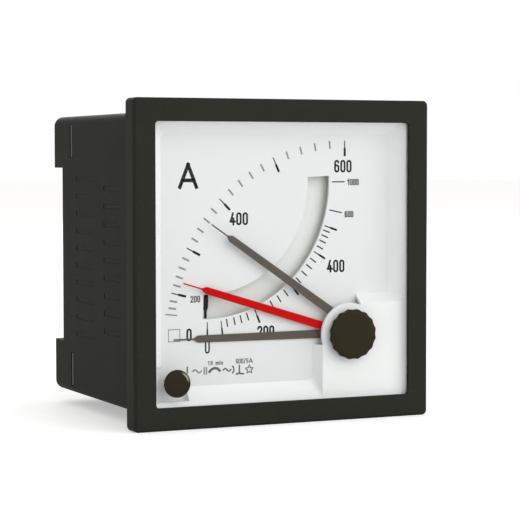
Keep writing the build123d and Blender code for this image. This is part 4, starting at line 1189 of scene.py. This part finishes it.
def hexCollar(mesh, x, start, end, spec):
    # six flats with the corners turned down at the outer end
    across = spec["flats"] / 2
    count = spec["collarPoints"]
    rings = []
    for depth, turned in ((0.0, False), (end - start - spec["collarRound"] * mm, False), (end - start, True)):
        ring = []
        for k in range(count):
            turn = math.radians(360 * k / count)
            sector = (math.degrees(turn) + 30) % 60 - 30
            flat = across / math.cos(math.radians(sector))
            reach = (min(flat, across * spec["turnedDown"]) if turned else flat) * mm
            ring.append(mesh.verts.new((x + reach * math.sin(turn), start + depth, reach * math.cos(turn))))
        rings.append(ring)
    joinRings(mesh, rings, True, True)


def terminalStuds(spec):
    mesh = bmesh.new()
    low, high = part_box("terminal_studs")
    washerLow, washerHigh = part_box("stud_washers")
    spread = (high.x - low.x) / 2 - spec["flats"] / 2 / math.cos(math.radians(30)) * mm
    collarBack = washerHigh.y + spec["collar"] * mm
    for side in (-1, 1):
        hexCollar(mesh, side * spread, washerHigh.y, collarBack, spec)
        threadedPin(mesh, side * spread, collarBack, high.y, spec)
        threadedPin(mesh, side * spread, low.y, washerHigh.y, {**spec, "chamfer": 0.0})
    bmesh.ops.recalc_face_normals(mesh, faces=mesh.faces)
    piece = linkMesh("terminal_studs_threaded", mesh, finishes["brass"])
    return standFor(smoothBy(piece, 35), "terminal_studs")


terminalStuds(studSpec)
print("terminals threaded")


# Floor, light and backdrop.

stageSpec = {
    "floorSize": 6.0,
    "floorGlow": 0.40,
    "floorColour": (0.88, 0.87, 0.86),
    "skyStrength": 0.66,
    "lamps": {
        "key": {"place": (0.52, -1.38, 0.62), "size": 1.9, "power": 14.0, "tint": (1.0, 0.99, 0.97)},
        "glint": {"place": (1.7, -1.0, 0.5), "size": 0.5, "power": 3.0, "tint": (1.0, 0.99, 0.96)},
        "back": {"place": (0.30, 1.55, 0.90), "size": 0.8, "power": 9.0, "tint": (0.98, 0.99, 1.0)},
    },
}


def makeStage(spec):
    size = spec["floorSize"]
    data = bpy.data.meshes.new("studio_floor")
    bottom = cadLow.z
    corners = [(-size, -size, bottom), (size, -size, bottom), (size, size, bottom), (-size, size, bottom)]
    data.from_pydata(corners, [], [(0, 1, 2, 3)])
    material = bpy.data.materials.new("studioFloor")
    recipe = blankTree(material)
    matt = recipe.add("ShaderNodeBsdfDiffuse", None, {"Color": (*spec["floorColour"], 1)})
    glow = recipe.add("ShaderNodeEmission", None, {"Color": (1, 1, 1, 1), "Strength": spec["floorGlow"]})
    both = recipe.add("ShaderNodeAddShader", None, {0: matt, 1: glow})
    surface = recipe.add("ShaderNodeMixShader", None, {0: seenRay(recipe), 1: matt, 2: both})
    recipe.add("ShaderNodeOutputMaterial", None, {"Surface": surface})
    data.materials.append(material)
    floor = bpy.data.objects.new("studio_floor", data)
    bpy.context.scene.collection.objects.link(floor)

    world = bpy.data.worlds.new("studio")
    bpy.context.scene.world = world
    recipe = blankTree(world)
    light = recipe.add("ShaderNodeBackground", None, {"Color": (1, 1, 1, 1), "Strength": spec["skyStrength"]})
    white = recipe.add("ShaderNodeBackground", None, {"Color": (1, 1, 1, 1), "Strength": 1.0})
    surface = recipe.add("ShaderNodeMixShader", None, {0: seenRay(recipe), 1: light, 2: white})
    recipe.add("ShaderNodeOutputWorld", None, {"Surface": surface})

    for name, lamp in spec["lamps"].items():
        light = bpy.data.lights.new(name, "AREA")
        light.size = lamp["size"]
        light.energy = lamp["power"]
        light.color = lamp["tint"]
        holder = bpy.data.objects.new(name, light)
        holder.location = lamp["place"]
        holder.rotation_euler = (-Vector(lamp["place"])).to_track_quat("-Z", "Y").to_euler()
        bpy.context.scene.collection.objects.link(holder)


def seenRay(recipe):
    # 1 for what the camera sees, straight, in a mirror or through glass
    camera = recipe.add("ShaderNodeLightPath", output=0)
    glossy = recipe.add("ShaderNodeLightPath", output=3)
    through = recipe.add("ShaderNodeLightPath", output=6)
    return recipe.maths("MAXIMUM", recipe.maths("MAXIMUM", camera, glossy), through)


makeStage(stageSpec)
bpy.context.scene.view_settings.view_transform = "Standard"
print("stage set")
